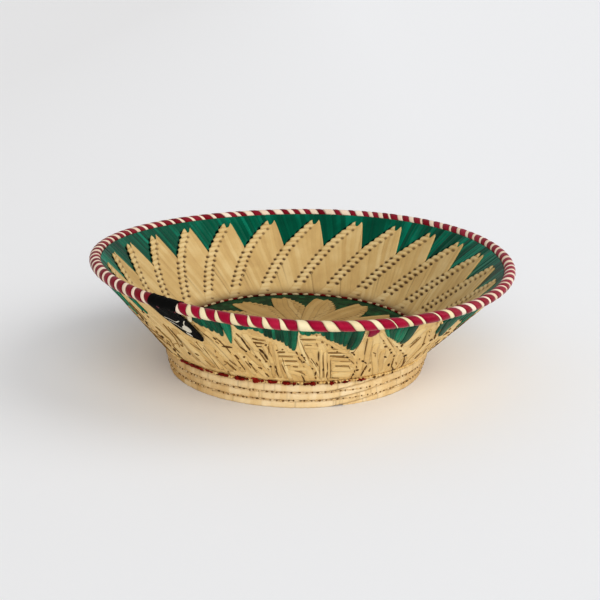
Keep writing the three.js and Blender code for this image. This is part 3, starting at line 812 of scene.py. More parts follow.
def rim_bands():
    """Crimson and cream bands in turn: in front the crimson is brighter and the cream paler;
    elsewhere painted shade gives a darker crimson and a pinker cream, and painted light lightens
    that crimson toward the right.
    """
    front, far = (StripHeap(), StripHeap()), (StripHeap(), StripHeap())
    rng = np.random.default_rng(21)
    spans = crimson_spans()
    for (start, stop), (following, _) in zip(spans, spans[1:] + [(spans[0][0] + 360, None)]):
        in_front = FRONT_CRIMSON[0][0] - 4 < half_turn(start) < FRONT_CRIMSON[-1][1]
        upright = next((lean for limit, lean in FRONT_LEANS if in_front and start < limit), 1.0)
        # Painted light: away from the front the crimson is lighter toward the right side
        painted_light = 0.0 if in_front else 0.45 * max(0.0, math.cos((start + 10) * DEGREE)) ** 2
        red, pale = front if in_front else far
        rim_band(red, start - 0.1, stop + 0.1, rng, 0.1, (1.0, upright), painted_light)
        rim_band(pale, stop - 0.02, following + 0.02, rng, 0.0, (upright, 1.0))
    front[0].piece("rim_strips_crimson", CRIMSON_LEAF, "binding_crimson", "rim_binding")
    far[0].piece("rim_strips_crimson_far", CRIMSON_SHADED, "binding_crimson", "rim_binding")
    front[1].piece("rim_strips_cream", CREAM_LEAF, "binding_cream", "rim_binding")
    far[1].piece("rim_strips_cream_far", CREAM_SHADED, "binding_cream", "rim_binding")


rim_bands()


# Outside: the leaf strips in front are laid out one by one; the same work goes on round the wall
FRONT_FROM, FRONT_TO, REPEAT = -117.0, -45.0, 72.0
RIBBON_SIDE = -137.5
# Green strips: three points down each (along, degrees), then its width at the top and at its end
FRONT_GREEN = (
    (79.7, -116.6, 77, -116.5, 73.1, -116.4, 5.6, 3.7),
    (79.7, -115.3, 75.7, -115.4, 71.2, -115.2, 4.7, 3.7),
    (79.7, -114.1, 75.1, -114.1, 70, -113.9, 4.9, 3.9),
    (79.7, -112.7, 74.5, -112.7, 67.3, -112.9, 4.6, 3.4),
    (79.7, -111.4, 73.1, -111.5, 66.1, -111.4, 4.2, 3.5),
    (79.6, -110.1, 72.4, -110.2, 63.2, -110.5, 4.1, 3.1),
    (79.8, -108.2, 69.7, -108.2, 55.1, -108.8, 7.5, 1.6),
    (80.3, -104.8, 77.3, -104.4, 75.1, -104.1, 4.7, 3.9),
    (79.7, -103.5, 78.1, -103.2, 76, -103, 4.3, 3.1),
    (79.4, -101.9, 78.5, -101.7, 77.7, -101.6, 5.1, 4),
    (79.2, -100.5, 77.4, -100.3, 76, -100.2, 3.9, 3.4),
    (79.2, -99.3, 76.8, -99.2, 73.9, -99, 3.5, 2.7),
    (79.5, -98.1, 74.8, -98.1, 70.2, -98.2, 3.1, 2.6),
    (79.6, -97.1, 74, -97.2, 68.9, -97.2, 3.1, 2.6),
    (79.6, -96.2, 73.2, -96.2, 67.3, -96.2, 3.1, 2.6),
    (79.7, -95.3, 73, -95.2, 65.9, -95.1, 3.1, 2.6),
    (79.9, -94.3, 72.1, -94.2, 64.3, -94.1, 3, 2.6), (80, -93.4, 70.5, -93.2, 60.5, -93.1, 3, 2.6),
    (80.3, -92.4, 68.2, -92.2, 56.7, -92.1, 3, 2.7),
    (80.7, -91.1, 67.2, -91.2, 54.2, -91.3, 3.9, 3),
    (81.2, -89.4, 78.2, -89.2, 75.8, -89, 3.8, 3.1), (81.5, -88.2, 78.4, -88, 75, -87.8, 3.6, 3),
    (81.7, -86.9, 79.2, -86.8, 76.8, -86.7, 3.5, 3), (81.8, -85.7, 80, -85.6, 78, -85.4, 3.6, 3),
    (81.9, -84.6, 78.2, -84.4, 74.9, -84.1, 3, 2.4), (82, -83.7, 76.2, -83.3, 69.8, -82.7, 3, 2.4),
    (82, -82.5, 74.9, -82.1, 68.1, -81.7, 4.2, 3.3),
    (81.9, -81.1, 73.5, -80.8, 65.9, -80.4, 4.5, 3.4),
    (81.8, -79.6, 72, -79.5, 63.2, -79.1, 4.8, 3.4),
    (81.6, -78.3, 71.1, -78.1, 60.2, -77.8, 4.3, 3), (81.3, -76.8, 67.3, -76.4, 56, -76.4, 4, 3.3),
    (80.4, -75.4, 65.5, -74.8, 54.3, -75.2, 4.4, 3.9),
    (78.3, -68.6, 73.2, -67.5, 68.5, -66.4, 2.8, 2.2),
    (78.2, -67.4, 72.8, -66.7, 66.7, -65.6, 2.7, 2.1),
    (78.1, -66.2, 71.5, -65.7, 64.5, -64.6, 3.2, 2.4),
    (77.8, -64.9, 69.9, -64.2, 61.8, -63.3, 4, 3.3),
    (77.8, -63.3, 68.1, -62.5, 58.3, -61.8, 4.7, 4.3),
    (78.3, -61.4, 66.6, -60.4, 55.2, -59.7, 7, 6.1),
    (74.6, -50.7, 66.1, -49.4, 58.7, -48.1, 3.9, 3),
    (74.9, -49, 63.7, -46.8, 51.8, -43.9, 4.4, 3.9),
    (75.4, -47.3, 63.9, -45.5, 50.8, -42.9, 5.8, 5),
    (76.6, -45.9, 67.7, -45.3, 56.9, -44, 7.8, 6.2),
)
# Natural strips: three points (along, degrees), two widths and a tone
FRONT_STRIPS = (
    (62.2, -129.3, 40.5, -130, 21.7, -130.6, 7.8, 7.1, 6),
    (56.2, -128.7, 36.4, -128.2, 17.9, -127.9, 8.1, 6.2, 3),
    (50.2, -128, 32.1, -126.4, 15.3, -124.8, 8.5, 7.1, 6),
    (45.9, -125.1, 29.5, -123.6, 14.6, -122.2, 7.7, 5.8, 4),
    (44.8, -122.2, 29.6, -120.3, 14.4, -118.7, 7.3, 5.3, 7),
    (47.7, -118.7, 31.1, -116.4, 14.4, -114.4, 7.3, 6, 4),
    (64, -116.1, 52.8, -113.8, 27, -110.8, 6.7, 6.1, 7),
    (59.3, -114.7, 54.1, -113.6, 48.9, -112.4, 4, 3.9, 5),
    (75.5, -117.5, 68.2, -116.6, 60.9, -115.7, 5.2, 5.1, 2),
    (48.9, -112.4, 34.4, -111.5, 17.8, -110.6, 5, 3.8, 5),
    (64.4, -106.2, 54.9, -105.3, 45.8, -104.4, 4.5, 3.6, 8),
    (69.6, -103.9, 59, -102.8, 47.9, -101.5, 5.2, 3.9, 7),
    (55.1, -102.8, 38.7, -101.2, 21.4, -99.2, 4.1, 3.7, 6),
    (60.6, -99.7, 46.6, -98.6, 31.8, -97.7, 3.3, 2.9, 4),
    (67.4, -102.2, 66.8, -100.1, 67.1, -98.1, 3.5, 3.1, 6),
    (62.6, -102.5, 62.6, -100.4, 62.6, -98.2, 3.2, 2.9, 5),
    (57, -102.1, 57, -100.1, 57.5, -97.9, 3.2, 2.9, 6),
    (47.3, -105.1, 37.6, -103.5, 29, -101.5, 4, 4.1, 5),
    (44.3, -107.9, 29.3, -106.6, 13.7, -105, 4.6, 4.1, 6),
    (34.1, -105.1, 22.8, -103, 12.5, -100.5, 5, 4.1, 7),
    (41.1, -110.9, 28.7, -110.2, 17.2, -109.2, 3.8, 3.9, 6),
    (63, -97.4, 38.7, -97.8, 13.1, -98.2, 2.5, 2.6, 5),
    (59.5, -96.2, 36.5, -96.1, 13.6, -96, 2.5, 2.6, 6),
    (43.7, -95.3, 28.5, -94.6, 11.3, -93.8, 2.4, 2.7, 4),
    (37, -94.4, 24.4, -93.3, 11.5, -91.9, 2.8, 2.8, 7),
    (47.1, -96.3, 47.6, -93.1, 47.8, -90, 3.6, 3.3, 6),
    (41.2, -96.2, 41.6, -92.9, 41.7, -89.3, 4.5, 4.2, 5),
    (34.8, -94.1, 34.8, -91.6, 34.6, -88.8, 4.6, 4.3, 6),
    (27.4, -92.6, 27.3, -89.6, 27.1, -86.7, 5.2, 5, 5),
    (22.9, -93.3, 21.9, -90.6, 16.1, -87.6, 5.8, 4.3, 6),
    (78.5, -90.3, 56.2, -89, 32.4, -86.2, 2.7, 2.6, 8),
    (72.2, -89.5, 72.4, -87.1, 72.1, -84.4, 5, 4.7, 6),
    (65.6, -89.2, 65.5, -86.6, 64.8, -83.8, 4.5, 4.3, 5),
    (59, -88.5, 58.8, -86.7, 58, -84.8, 4.6, 4.2, 6),
    (50.7, -88.6, 36.8, -86.1, 20.4, -82.9, 3, 2.7, 4),
    (42.5, -86.5, 30.9, -84.2, 14.1, -81.3, 1.8, 1.7, 7),
    (44.9, -90.4, 32.3, -88.8, 17.6, -86.6, 3.1, 3, 6),
    (55.2, -83.7, 33.7, -82.4, 11.2, -80.6, 2.1, 2.2, 7),
    (52.4, -82.4, 32.1, -81, 0.6, -77.2, 2.1, 2.2, 5),
    (50.9, -81.3, 31.9, -79.8, 10.5, -77.5, 1.6, 1.7, 7),
    (54, -82.1, 53.4, -79.3, 52.2, -76.3, 4.2, 3.8, 6),
    (48.6, -81.1, 47.8, -78.2, 46.3, -74.7, 3.4, 3.3, 7),
    (42.1, -79.9, 40.5, -76.5, 38.2, -72.7, 5.5, 4.8, 5),
    (34.7, -79.1, 33.9, -75.7, 32.1, -72.2, 6.4, 5.9, 6),
    (26.4, -78.2, 25.3, -74.7, 23.2, -70.7, 7.3, 6.5, 5),
    (17.1, -77.2, 15.7, -73.3, 14.2, -69.5, 7.5, 6.8, 7),
    (74.8, -85.5, 60.5, -80.6, 41.9, -73.6, 3.4, 3.3, 6),
    (50.3, -75, 60.6, -74.4, 75.4, -74, 3.9, 3.3, 7),
    (69.1, -71.6, 45.8, -69.1, 19.1, -65.4, 4, 4, 5),
    (59.4, -68.4, 36.5, -65.2, 1.5, -55.3, 4.2, 4.1, 6),
    (48.9, -64.4, 29.8, -61.2, 8.6, -55.8, 4.1, 3.9, 5),
    (75, -69.8, 55.7, -64.2, 35.1, -56.7, 3.2, 2.6, 7),
    (61, -64, 49.7, -59.5, 36.8, -53.6, 3.1, 2.7, 7),
    (48.1, -57.3, 59.9, -56.9, 72.8, -56.6, 7.7, 7, 8),
    (39.4, -56.8, 24.4, -53.8, 7.5, -48.4, 4.1, 2.8, 6),
    (28.3, -50.7, 13.2, -46.8, 8, -46.5, 4.6, 4.1, 4),
    (35.9, -50.9, 2.5, -32.8, 8.5, -43.5, 5.3, 4.2, 6),
    (48, -52.3, 1, -22.3, 9, -39.5, 4.9, 3.4, 5), (64.1, -54, 45.3, -49.3, 4.8, -22.7, 3.5, 3.8, 5),
    (67.5, -53.4, 50.3, -49, 32.9, -43, 3.5, 3.8, 6),
)
# Gaps and holes between them: both ends (along, degrees), width, and how dark their painted shade
# looks
FRONT_GAPS = (
    (45.6, -139.1, 35.8, -136.7, 2.1, 4), (35.8, -136.7, 22.7, -139.2, 1.2, 4),
    (57.5, -132.1, 43.4, -131.8, 1.3, 4), (43.4, -131.8, 30.9, -133.4, 0.5, 3),
    (35.5, -131.2, 33.3, -131.2, 2.5, 6), (27.8, -130.3, 24.3, -130.7, 2.1, 9),
    (29.5, -126.7, 27.7, -125.2, 2.4, 7), (46.3, -121.9, 36.2, -121.1, 1.1, 5),
    (41.6, -120.3, 31.1, -119.9, 1, 6), (31.1, -119.9, 15.1, -119.6, 0.8, 5),
    (42.3, -125.2, 36.1, -122.8, 1.3, 4), (23.2, -124, 18, -122.7, 1.2, 4),
    (23.8, -128, 21, -126.9, 1.6, 3), (58.8, -113.8, 55.9, -113.3, 1.9, 8),
    (54, -113.8, 51.5, -113, 1.4, 6), (48.6, -112.5, 49.2, -109.2, 1.9, 8),
    (41.3, -116, 37.9, -116.4, 0.9, 5), (33, -117.2, 30.8, -116.9, 1.4, 5),
    (28.2, -115.1, 26.4, -113.9, 1.4, 5), (26.4, -113.9, 22.4, -116.1, 0.6, 4),
    (61.3, -116.6, 57, -115.4, 1.5, 6), (64.2, -121.2, 62.5, -120.6, 1.6, 4),
    (0.7, -172.3, 35.4, -132.7, 0.7, 4), (68.8, -106.1, 63.8, -105.1, 0.9, 6),
    (64.5, -105.1, 56, -104.5, 1.1, 9), (56, -104.5, 49, -103.8, 1.1, 8),
    (61.1, -107.3, 51.6, -106.5, 0.7, 5), (51.6, -106.5, 46.7, -105, 1.4, 7),
    (47.8, -105.4, 46.5, -104.9, 2, 9), (52.2, -100.8, 46.7, -99.8, 1.7, 9),
    (46.7, -99.8, 38.9, -99.1, 1.2, 9), (39.5, -109.5, 34.1, -108.8, 1.2, 7),
    (38.7, -106.9, 38.3, -106.3, 2.1, 8), (31.5, -105.6, 28.4, -105, 1.7, 9),
    (23.5, -110, 22.4, -109.6, 1.7, 6), (31, -112.7, 24.4, -110.8, 1.1, 5),
    (25.7, -114, 17.6, -112.2, 1.3, 6), (42, -102.8, 39.5, -102.3, 1.1, 6),
    (38.4, -101.8, 35.9, -101.4, 1, 6), (58.9, -98.9, 57.7, -98.6, 1.7, 7),
    (36.1, -99.9, 35.3, -99.5, 1.9, 7), (29.6, -98.9, 28.9, -98.3, 2.2, 9),
    (30.6, -97.1, 25.1, -96.7, 0.9, 7), (25, -97, 16, -96.4, 1, 8),
    (19.4, -101.1, 14.5, -100, 1.1, 7), (27, -103, 24.7, -101.8, 1.4, 6),
    (33.2, -106.8, 24.4, -105.7, 0.8, 5), (65.1, -102.1, 64, -100.6, 1.5, 6),
    (60.2, -102.1, 60.1, -99.1, 1.5, 6), (63.9, -100.8, 63.8, -98.5, 1.1, 4),
    (53.2, -96.1, 52.6, -95.6, 1.9, 7), (54.3, -94.5, 53.6, -94.2, 1.6, 6),
    (49.6, -95.9, 50.8, -93.6, 1.7, 6), (44.9, -95.8, 44.7, -91.4, 1.1, 4),
    (38.6, -93.8, 38.7, -90.1, 1.7, 5), (31.3, -91.3, 30.7, -89.7, 1.7, 5),
    (51.8, -90.6, 48.4, -90.1, 1, 7), (45, -89.9, 40.8, -89.3, 0.8, 6),
    (26.9, -99.8, 24.2, -99.4, 0.8, 4), (14.8, -116, 0.5, -118.3, 1.7, 5),
    (52.7, -84.4, 39.6, -83.7, 0.9, 9), (37.5, -84.3, 32.3, -83.3, 0.8, 7),
    (32.3, -82.9, 12.7, -81.3, 0.4, 6), (48.4, -89.1, 47.1, -88.7, 1.5, 9),
    (44.9, -88.3, 44.1, -87.8, 1.5, 7), (38.4, -88.3, 37.3, -87.8, 1.6, 8),
    (32.3, -88, 31.2, -87.8, 0.8, 4), (42.2, -89.6, 40.8, -89.2, 1, 6),
    (29.5, -85.2, 27.6, -84.7, 1.2, 8), (24.1, -83.5, 18, -83.5, 1.1, 9),
    (15.9, -83.3, 12.9, -82.6, 1, 7), (28.3, -81.5, 24.7, -81.1, 1, 9),
    (24.7, -81.1, 13.9, -80.1, 0.5, 5), (23.5, -79.6, 14.6, -79, 1.1, 8),
    (15.2, -79, 10.6, -77.9, 0.5, 5), (39.2, -80, 13.3, -77.3, 0.4, 5),
    (19.8, -88.3, 0.5, -85.4, 0.9, 8), (74.7, -89.8, 68.8, -89.7, 0.5, 5),
    (68.7, -89.7, 69, -85.8, 1.3, 5), (75.9, -86, 73.7, -85.7, 0.8, 5),
    (64.8, -85.5, 60, -84.9, 0.8, 4), (50.9, -81.6, 50, -77.8, 1.4, 5),
    (46.3, -80.7, 45.1, -76.4, 1.7, 5), (38.2, -76.9, 36.8, -73.5, 1.4, 4),
    (31, -75.7, 29.4, -72.8, 1.4, 4), (66.7, -84.3, 64.8, -83.7, 1.2, 6),
    (62.8, -82.8, 60.7, -82.3, 0.9, 4), (66.5, -80.4, 64.8, -79.8, 1.3, 9),
    (59.8, -81.3, 57.4, -80.7, 1.4, 9), (53.4, -79.4, 52.2, -78.9, 1.4, 7),
    (46.7, -76.9, 45.7, -76.3, 1.5, 8), (44.3, -75.5, 42.3, -74.8, 1.4, 9),
    (40.3, -74.4, 39.1, -73.8, 1.1, 7), (39.1, -73.8, 32.4, -71.5, 0.6, 5),
    (50.9, -74.9, 48.9, -74.1, 1.4, 9), (48.1, -73.9, 45.7, -73.2, 1.1, 9),
    (28.9, -70.2, 25.2, -69.3, 0.8, 7), (21.5, -69, 22.6, -68.2, 2.7, 8),
    (17, -69, 14, -68.9, 1.5, 9), (21.9, -69.5, 18.7, -69.1, 0.9, 7),
    (28.4, -72.7, 25.1, -71.7, 0.7, 5), (0.5, -61.7, 9, -66.4, 1.1, 6),
    (36.2, -69.5, 34.7, -68.5, 1.7, 9), (21.4, -65.8, 11.7, -65, 1.2, 8),
    (50, -74.1, 66.4, -73.8, 0.6, 5), (13.4, -69, 6, -67.8, 0.7, 6),
    (66.9, -89.6, 52.2, -88.1, 0.5, 5), (52.2, -88.1, 41.8, -86.5, 0.5, 5),
    (41.1, -86.4, 35.3, -85.1, 0.5, 4), (35.2, -71.1, 32, -70.4, 0.6, 5),
    (33.8, -68.1, 31.2, -67, 1.3, 9), (40.1, -71, 38.1, -70.5, 0.8, 5),
    (28.4, -66.3, 20.8, -65.7, 1.2, 8), (20.8, -65.7, 11.6, -64.8, 0.8, 7),
    (21.5, -63.4, 16.3, -62.7, 1, 6), (32.6, -65.8, 29.4, -65.3, 0.6, 4),
    (64.2, -67.5, 62.2, -66.9, 1, 8), (59.9, -66.6, 58.2, -66.1, 0.8, 4),
    (52.9, -65, 54.5, -64.6, 2.7, 8), (48.2, -62.5, 48.2, -62, 2.9, 8),
    (42.6, -60.8, 42.8, -60.3, 3.4, 9), (36.6, -61.5, 37.5, -61.2, 3.9, 9),
    (35.8, -57.9, 36, -57.5, 3.4, 8), (24, -53.3, 18.6, -50.9, 0.9, 6),
    (24, -56.2, 19.6, -55.3, 1.8, 9), (17.3, -52.8, 2.4, -45, 1.1, 9), (8, -46.3, 7.8, -48, 1.9, 7),
    (33, -51.9, 30.3, -51.7, 2.9, 9), (30.6, -51.7, 6.3, -43.1, 1.2, 7),
    (51.5, -60.8, 49.8, -60, 1, 6), (53, -59.1, 49, -58.6, 1.4, 7),
    (43.9, -57.7, 42.8, -56.9, 1.5, 8), (37.5, -54.8, 35.6, -53.8, 0.9, 6),
    (38.7, -51, 1.2, -23.7, 0.9, 5), (9.2, -38.7, 9.2, -38.6, 0.8, 8),
    (8, -45.6, 8.5, -42.5, 3.7, 4), (59, -54.2, 44.8, -54.1, 1.3, 5),
    (66.2, -53.4, 63.9, -52.4, 0.9, 6), (59.9, -51.6, 56.7, -50.2, 0.9, 6),
    (44.1, -48.6, 44.5, -47.8, 3.9, 7), (34.9, -42.4, 36.4, -42.6, 3.9, 8),
    (46.3, -46, 48.7, -46.4, 2.9, 8), (47.7, -67.8, 44.9, -66.3, 0.9, 6),
    (44.5, -66.5, 39.7, -65.6, 0.7, 5), (56.9, -47.6, 47.6, -44.7, 1.3, 7),
    (65.7, -48.8, 56.9, -46.3, 1.2, 6), (33.3, -38, 21.9, -31.5, 1.8, 7),
    (8.3, -33.4, 9.5, -36.8, 1.2, 4),
)


def round_the_wall(rows, turns, rng, drift):
    """Rows as measured in front, then shifted copies of them for the rest of the wall."""
    for row in rows:
        if np.mean([row[k] for k in turns]) < FRONT_FROM:
            yield row
    for copy in (0, -1, 1, 2, 3):
        for row in rows:
            middle = np.mean([row[k] for k in turns])
            if not FRONT_FROM <= middle < FRONT_TO:
                continue
            moved = list(row)
            if copy:
                wander = rng.uniform(-drift, drift)
                for k in turns:
                    moved[k] += copy * REPEAT + wander
            if copy != -1 or middle - REPEAT <= RIBBON_SIDE:
                yield moved


def three_points(row, steps):
    """A smooth path through three (along, degrees) points."""
    share = np.linspace(0, 1, steps)
    first = (1 - share) * (1 - 2 * share)
    second = 4 * share * (1 - share)
    third = share * (2 * share - 1)
    return [row[k] * first + row[k + 2] * second + row[k + 4] * third for k in (0, 1)]


def outer_green():
    """Green strips that hang from the rim, each tapered at its end."""
    heap = StripHeap()
    rng = np.random.default_rng(900)
    steps = 8
    for count, row in enumerate(round_the_wall(FRONT_GREEN, (1, 3, 5), rng, 0.3)):
        along, degrees = three_points(row, steps)
        half = np.linspace(row[6], row[7], steps) / 2 * 1.12
        half[-2:] *= (0.9, 0.55)
        start = np.argmax(along < UNDER_RIM)
        along = np.concatenate([[UNDER_RIM], along[start:]])
        degrees, half = [
            values[start - 1:] if start else np.concatenate([values[:1], values])
            for values in (degrees, half)
        ]
        lift = 0.28 + 0.1 * (count % 2) + rng.uniform(0, 0.25) * np.linspace(0, 1, len(along)) ** 2
        wall_strip(heap, along, degrees, half, lift, 1, rng.uniform(0.15, 0.8), 0.4, 0.25)
    heap.piece("green_feathers_outside", GREEN_OUTSIDE, "leaf_green", "wall_leaf_green_outside")


outer_green()


RING_FROM, RING_TO = 0.4, 78.6
RING_TURN, RING_KINDS = 4.6, 512


def outer_ring():
    """The leaf under the laid strips: low courses, wrapped in turns."""
    along, degrees = round_grid(RING_FROM, RING_TO, 84, 960)
    phase = (along - NOTCH_ALONG) / COURSE
    _, rise = numbered(phase)
    wrap_number, share = numbered((degrees * 2.1 + along * 0.3) / RING_TURN)
    rng = np.random.default_rng(41)
    key = (wrap_number * 7 + np.floor(phase / 3).astype(int) * 3) % RING_KINDS
    slant, tone = own_turns(rng, RING_KINDS, key, share, 0.2, (0.35, 0.65))
    front = on_wall(along, degrees, LEAF_OUTSIDE - 0.25 + (0.14 * dome(rise) + slant))
    back = on_wall(along, degrees, LEAF_INSIDE + 0.05 + 0 * along)
    # Painted shade along the edges of the wrapped turns
    sheet_piece("natural_leaf_ring_outside", front, back, NATURAL_OUTSIDE, "leaf_natural",
                "wall_leaf_natural_outside", stacked(share * RING_TURN + key * 3.1, along), tone,
                0.22 * near_edges(share, 0.07), closes_round=True)


outer_ring()


LAID_FROM, LAID_TO, GAPS_TO = 2.0, 82.0, 80.0


def outer_strips():
    """Natural strips laid over and under one another."""
    heap = StripHeap()
    rng = np.random.default_rng(1200)
    steps = 9
    for count, row in enumerate(round_the_wall(FRONT_STRIPS, (1, 3, 5), rng, 0.5)):
        along, degrees = three_points(row, steps)
        half = np.linspace(row[6], row[7], steps) / 2 * 1.05
        half[[0, -1]] *= 0.75
        lift = np.full(steps, 0.04 * (count * 4 % 9) - 0.2)
        lift[[0, -1]] -= 0.15
        tone = 0.1 * row[8] + rng.uniform(-0.22, 0.14)
        along = np.clip(along, LAID_FROM, LAID_TO)
        wall_strip(heap, along, degrees, half, lift, 1, tone, 0.4, 0.2, 5)
    heap.piece(
        "natural_strips_outside", NATURAL_OUTSIDE, "leaf_natural", "wall_leaf_natural_outside")


def outer_gaps():
    """Grass that shows in the gaps and in slits along the sides of some strips, darkened there as
    painted shade.
    """
    heap = StripHeap()
    rng = np.random.default_rng(1300)
    for row in round_the_wall(FRONT_GAPS, (1, 3), rng, 0.3):
        share = np.linspace(0, 1, 5)
        along = row[0] + (row[2] - row[0]) * share + 0.001
        degrees = row[1] + (row[3] - row[1]) * share
        half = row[4] / 2 * np.array((0.3, 0.8, 0.95, 0.75, 0.25)) * rng.uniform(0.9, 1.1, 5)
        tone = min(1.0, 1.42 - row[5] / 7)
        along = np.clip(along, LAID_FROM, GAPS_TO)
        wall_strip(heap, along, degrees, half, 0.38, 1, tone, 0.6, 0.02, 3)
    for row in round_the_wall(FRONT_STRIPS, (1, 3, 5), rng, 0.5):
        if rng.random() < 0.3:
            continue
        along, degrees = three_points(row, 9)
        first = rng.integers(0, 4)
        last = first + rng.integers(3, 6)
        wide = (row[6] + row[7]) / 2 * rng.choice((-0.55, 0.55))
        radius, _ = wall_radius_height(along, LEAF_OUTSIDE)
        arc = radius * DEGREE
        run, turn = np.gradient(along), np.gradient(degrees) * arc
        length = np.hypot(run, turn)
        along, degrees = along - wide * turn / length, degrees + wide * run / length / arc
        along, degrees = np.clip(along[first:last], LAID_FROM, GAPS_TO), degrees[first:last]
        taper = np.clip(np.sin(math.pi * np.linspace(0.08, 0.92, len(along))), 0.3, 1)
        half = rng.uniform(0.16, 0.34) * taper
        wall_strip(heap, along, degrees, half, 0.3, 1, rng.uniform(0.45, 0.9), 0.5, 0.02, 3)
    heap.piece("grass_and_painted_shade_in_gaps_outside", SHADED_GRASS, "leaf_natural", "wall_leaf_natural_outside")


outer_strips()
outer_gaps()


# Foot: the cord's three courses with leaf wraps, and the red stitches above it
def underside_height(radius):
    """Height of the bowl's underside, which sets how high the foot reaches."""
    beyond = max(0.0, radius - CORNER_RADIUS)
    reach = CORNER_BEND + LEAF_OUTSIDE
    bend_end = reach * math.sin(WALL_LEAN)
    if beyond < bend_end:
        return BEND_CENTRE_HEIGHT - math.sqrt(reach**2 - beyond**2)
    climb = (beyond - bend_end) * math.tan(WALL_LEAN)
    return BEND_CENTRE_HEIGHT - reach * math.cos(WALL_LEAN) + climb


FOOT_CORD_WIDTH = 6.0
FOOT_COURSES = 3
FOOT_FLARE = 1.5
FOOT_GAP = 0.48
FOOT_FLAT = 0.52
FOOT_END = -77.0
TURN_STEPS = 24
CLIMB_STEPS = 2
TOP_COURSE_RADIUS = FOOT_RADIUS + (FOOT_COURSES - 1) * FOOT_FLARE
FOOT_TOP = underside_height(TOP_COURSE_RADIUS - FOOT_CORD_WIDTH * 0.75) - GAP
CORD_HEIGHT = (FOOT_TOP + FOOT_FLAT - (FOOT_COURSES - 1) * FOOT_GAP) / FOOT_COURSES
COURSE_RISE = CORD_HEIGHT + FOOT_GAP


def foot_cord():
    """The cord as it winds: it climbs to the next course in two steps, and thins at both ends."""
    steps = np.linspace(0.5, FOOT_COURSES * TURN_STEPS + CLIMB_STEPS - 0.5, 2000)
    climb = np.minimum(1, (steps % TURN_STEPS) / CLIMB_STEPS)
    course = np.floor(steps / TURN_STEPS) - 1 + climb
    low = np.maximum(0, course * COURSE_RISE) - FOOT_FLAT
    high = np.minimum(course * COURSE_RISE + CORD_HEIGHT - FOOT_FLAT, FOOT_TOP)
    radius = FOOT_RADIUS - FOOT_CORD_WIDTH / 2 + np.clip(course, 0, FOOT_COURSES - 1) * FOOT_FLARE
    angle = FOOT_END * DEGREE + steps / TURN_STEPS * 2 * math.pi
    half_width = FOOT_CORD_WIDTH / 2 * (0.5 + 0.5 * ((high - low) / CORD_HEIGHT))

    # Leaf turns of mixed widths along the cord
    length = running(np.diff(angle) * radius[1:])
    rng = np.random.default_rng(61)
    count = 700
    widths = rng.choice((1.8, 2.4, 3.2, 4.5, 7.0), count) * rng.uniform(0.85, 1.15, count)
    edges = running(widths)
    wrap = np.searchsorted(edges, length, side="right") - 1
    share = (length - edges[wrap]) / widths[wrap]
    from_seam = np.minimum(share, 1 - share) * widths[wrap]
    tones = rng.uniform(0.5, 0.74, count + 1)
    lean = rng.uniform(-0.25, 0.25, count + 1)
    sunny = np.clip(np.cos((half_turn(np.degrees(angle)) + 85) * DEGREE), 0, 1)

    # Sections across the cord, squared a little
    around = circle(18)[None, :]
    sine, cosine = np.sin(around), np.cos(around)
    groove = np.exp(-(from_seam / 0.4) ** 2)[:, None]
    swell = 0.1 * dome(share)[:, None] + lean[wrap][:, None] * (share[:, None] - 0.5) - 0.2 * groove
    squared_sine = np.sign(sine) * np.abs(sine) ** 0.75
    squared_cosine = np.sign(cosine) * np.abs(cosine) ** 0.72
    z = (low + high)[:, None] / 2 + ((high - low)[:, None] / 2 + 0.2 + 0.4 * swell) * squared_sine
    r = radius[:, None] + (half_width[:, None] + swell) * squared_cosine
    rings = hand_bend(r, angle[:, None], np.maximum(z, 0.0))
    # Painted shade: in some seams between wraps, in the grooves above and below each course, and
    # low on the bottom course where it meets the floor
    dark = 0.3 * groove * (rng.random(count + 1)[wrap] > 0.7)[:, None] + 0 * sine
    dark = dark + 0.4 * np.clip((np.abs(sine) - 0.8) / 0.2, 0, 1)
    dark = np.clip(dark + 0.5 * np.clip((-sine - 0.5) / 0.3, 0, 1) * (course < 0.3)[:, None], 0, 1)
    heap = StripHeap()
    # Painted shade: the leaf darkens the further it turns from the lit side
    tone = (tones[wrap] - 0.8 * (1 - sunny))[:, None]
    heap.add(rings, stacked(length[:, None], around * 3.0), tone, dark)
    heap.piece("foot_cord_wrapped", FOOT_LEAF, "leaf_natural", "foot_coil")


foot_cord()


def lump(heap, radius, height, start, stop, size, tone, rng, dark=0.0, rings=6, sides=7):
    """A small bulging stitch that follows a circle of the basket."""
    share = np.linspace(0, 1, rings)
    angle = (start + (stop - start) * share) * DEGREE
    girth = size * np.clip(np.sin(math.pi * (0.1 + 0.8 * share)), 0, 1) ** 0.7
    girth = girth * rng.uniform(0.85, 1.15, rings)
    around = circle(sides)
    r = radius + girth[:, None] * np.cos(around)
    z = height + girth[:, None] * np.sin(around) + rng.uniform(-0.2, 0.2, rings)[:, None]
    uv = stacked(around * size, angle[:, None] * radius)
    heap.add(hand_bend(r, angle[:, None], z), uv, tone, dark)


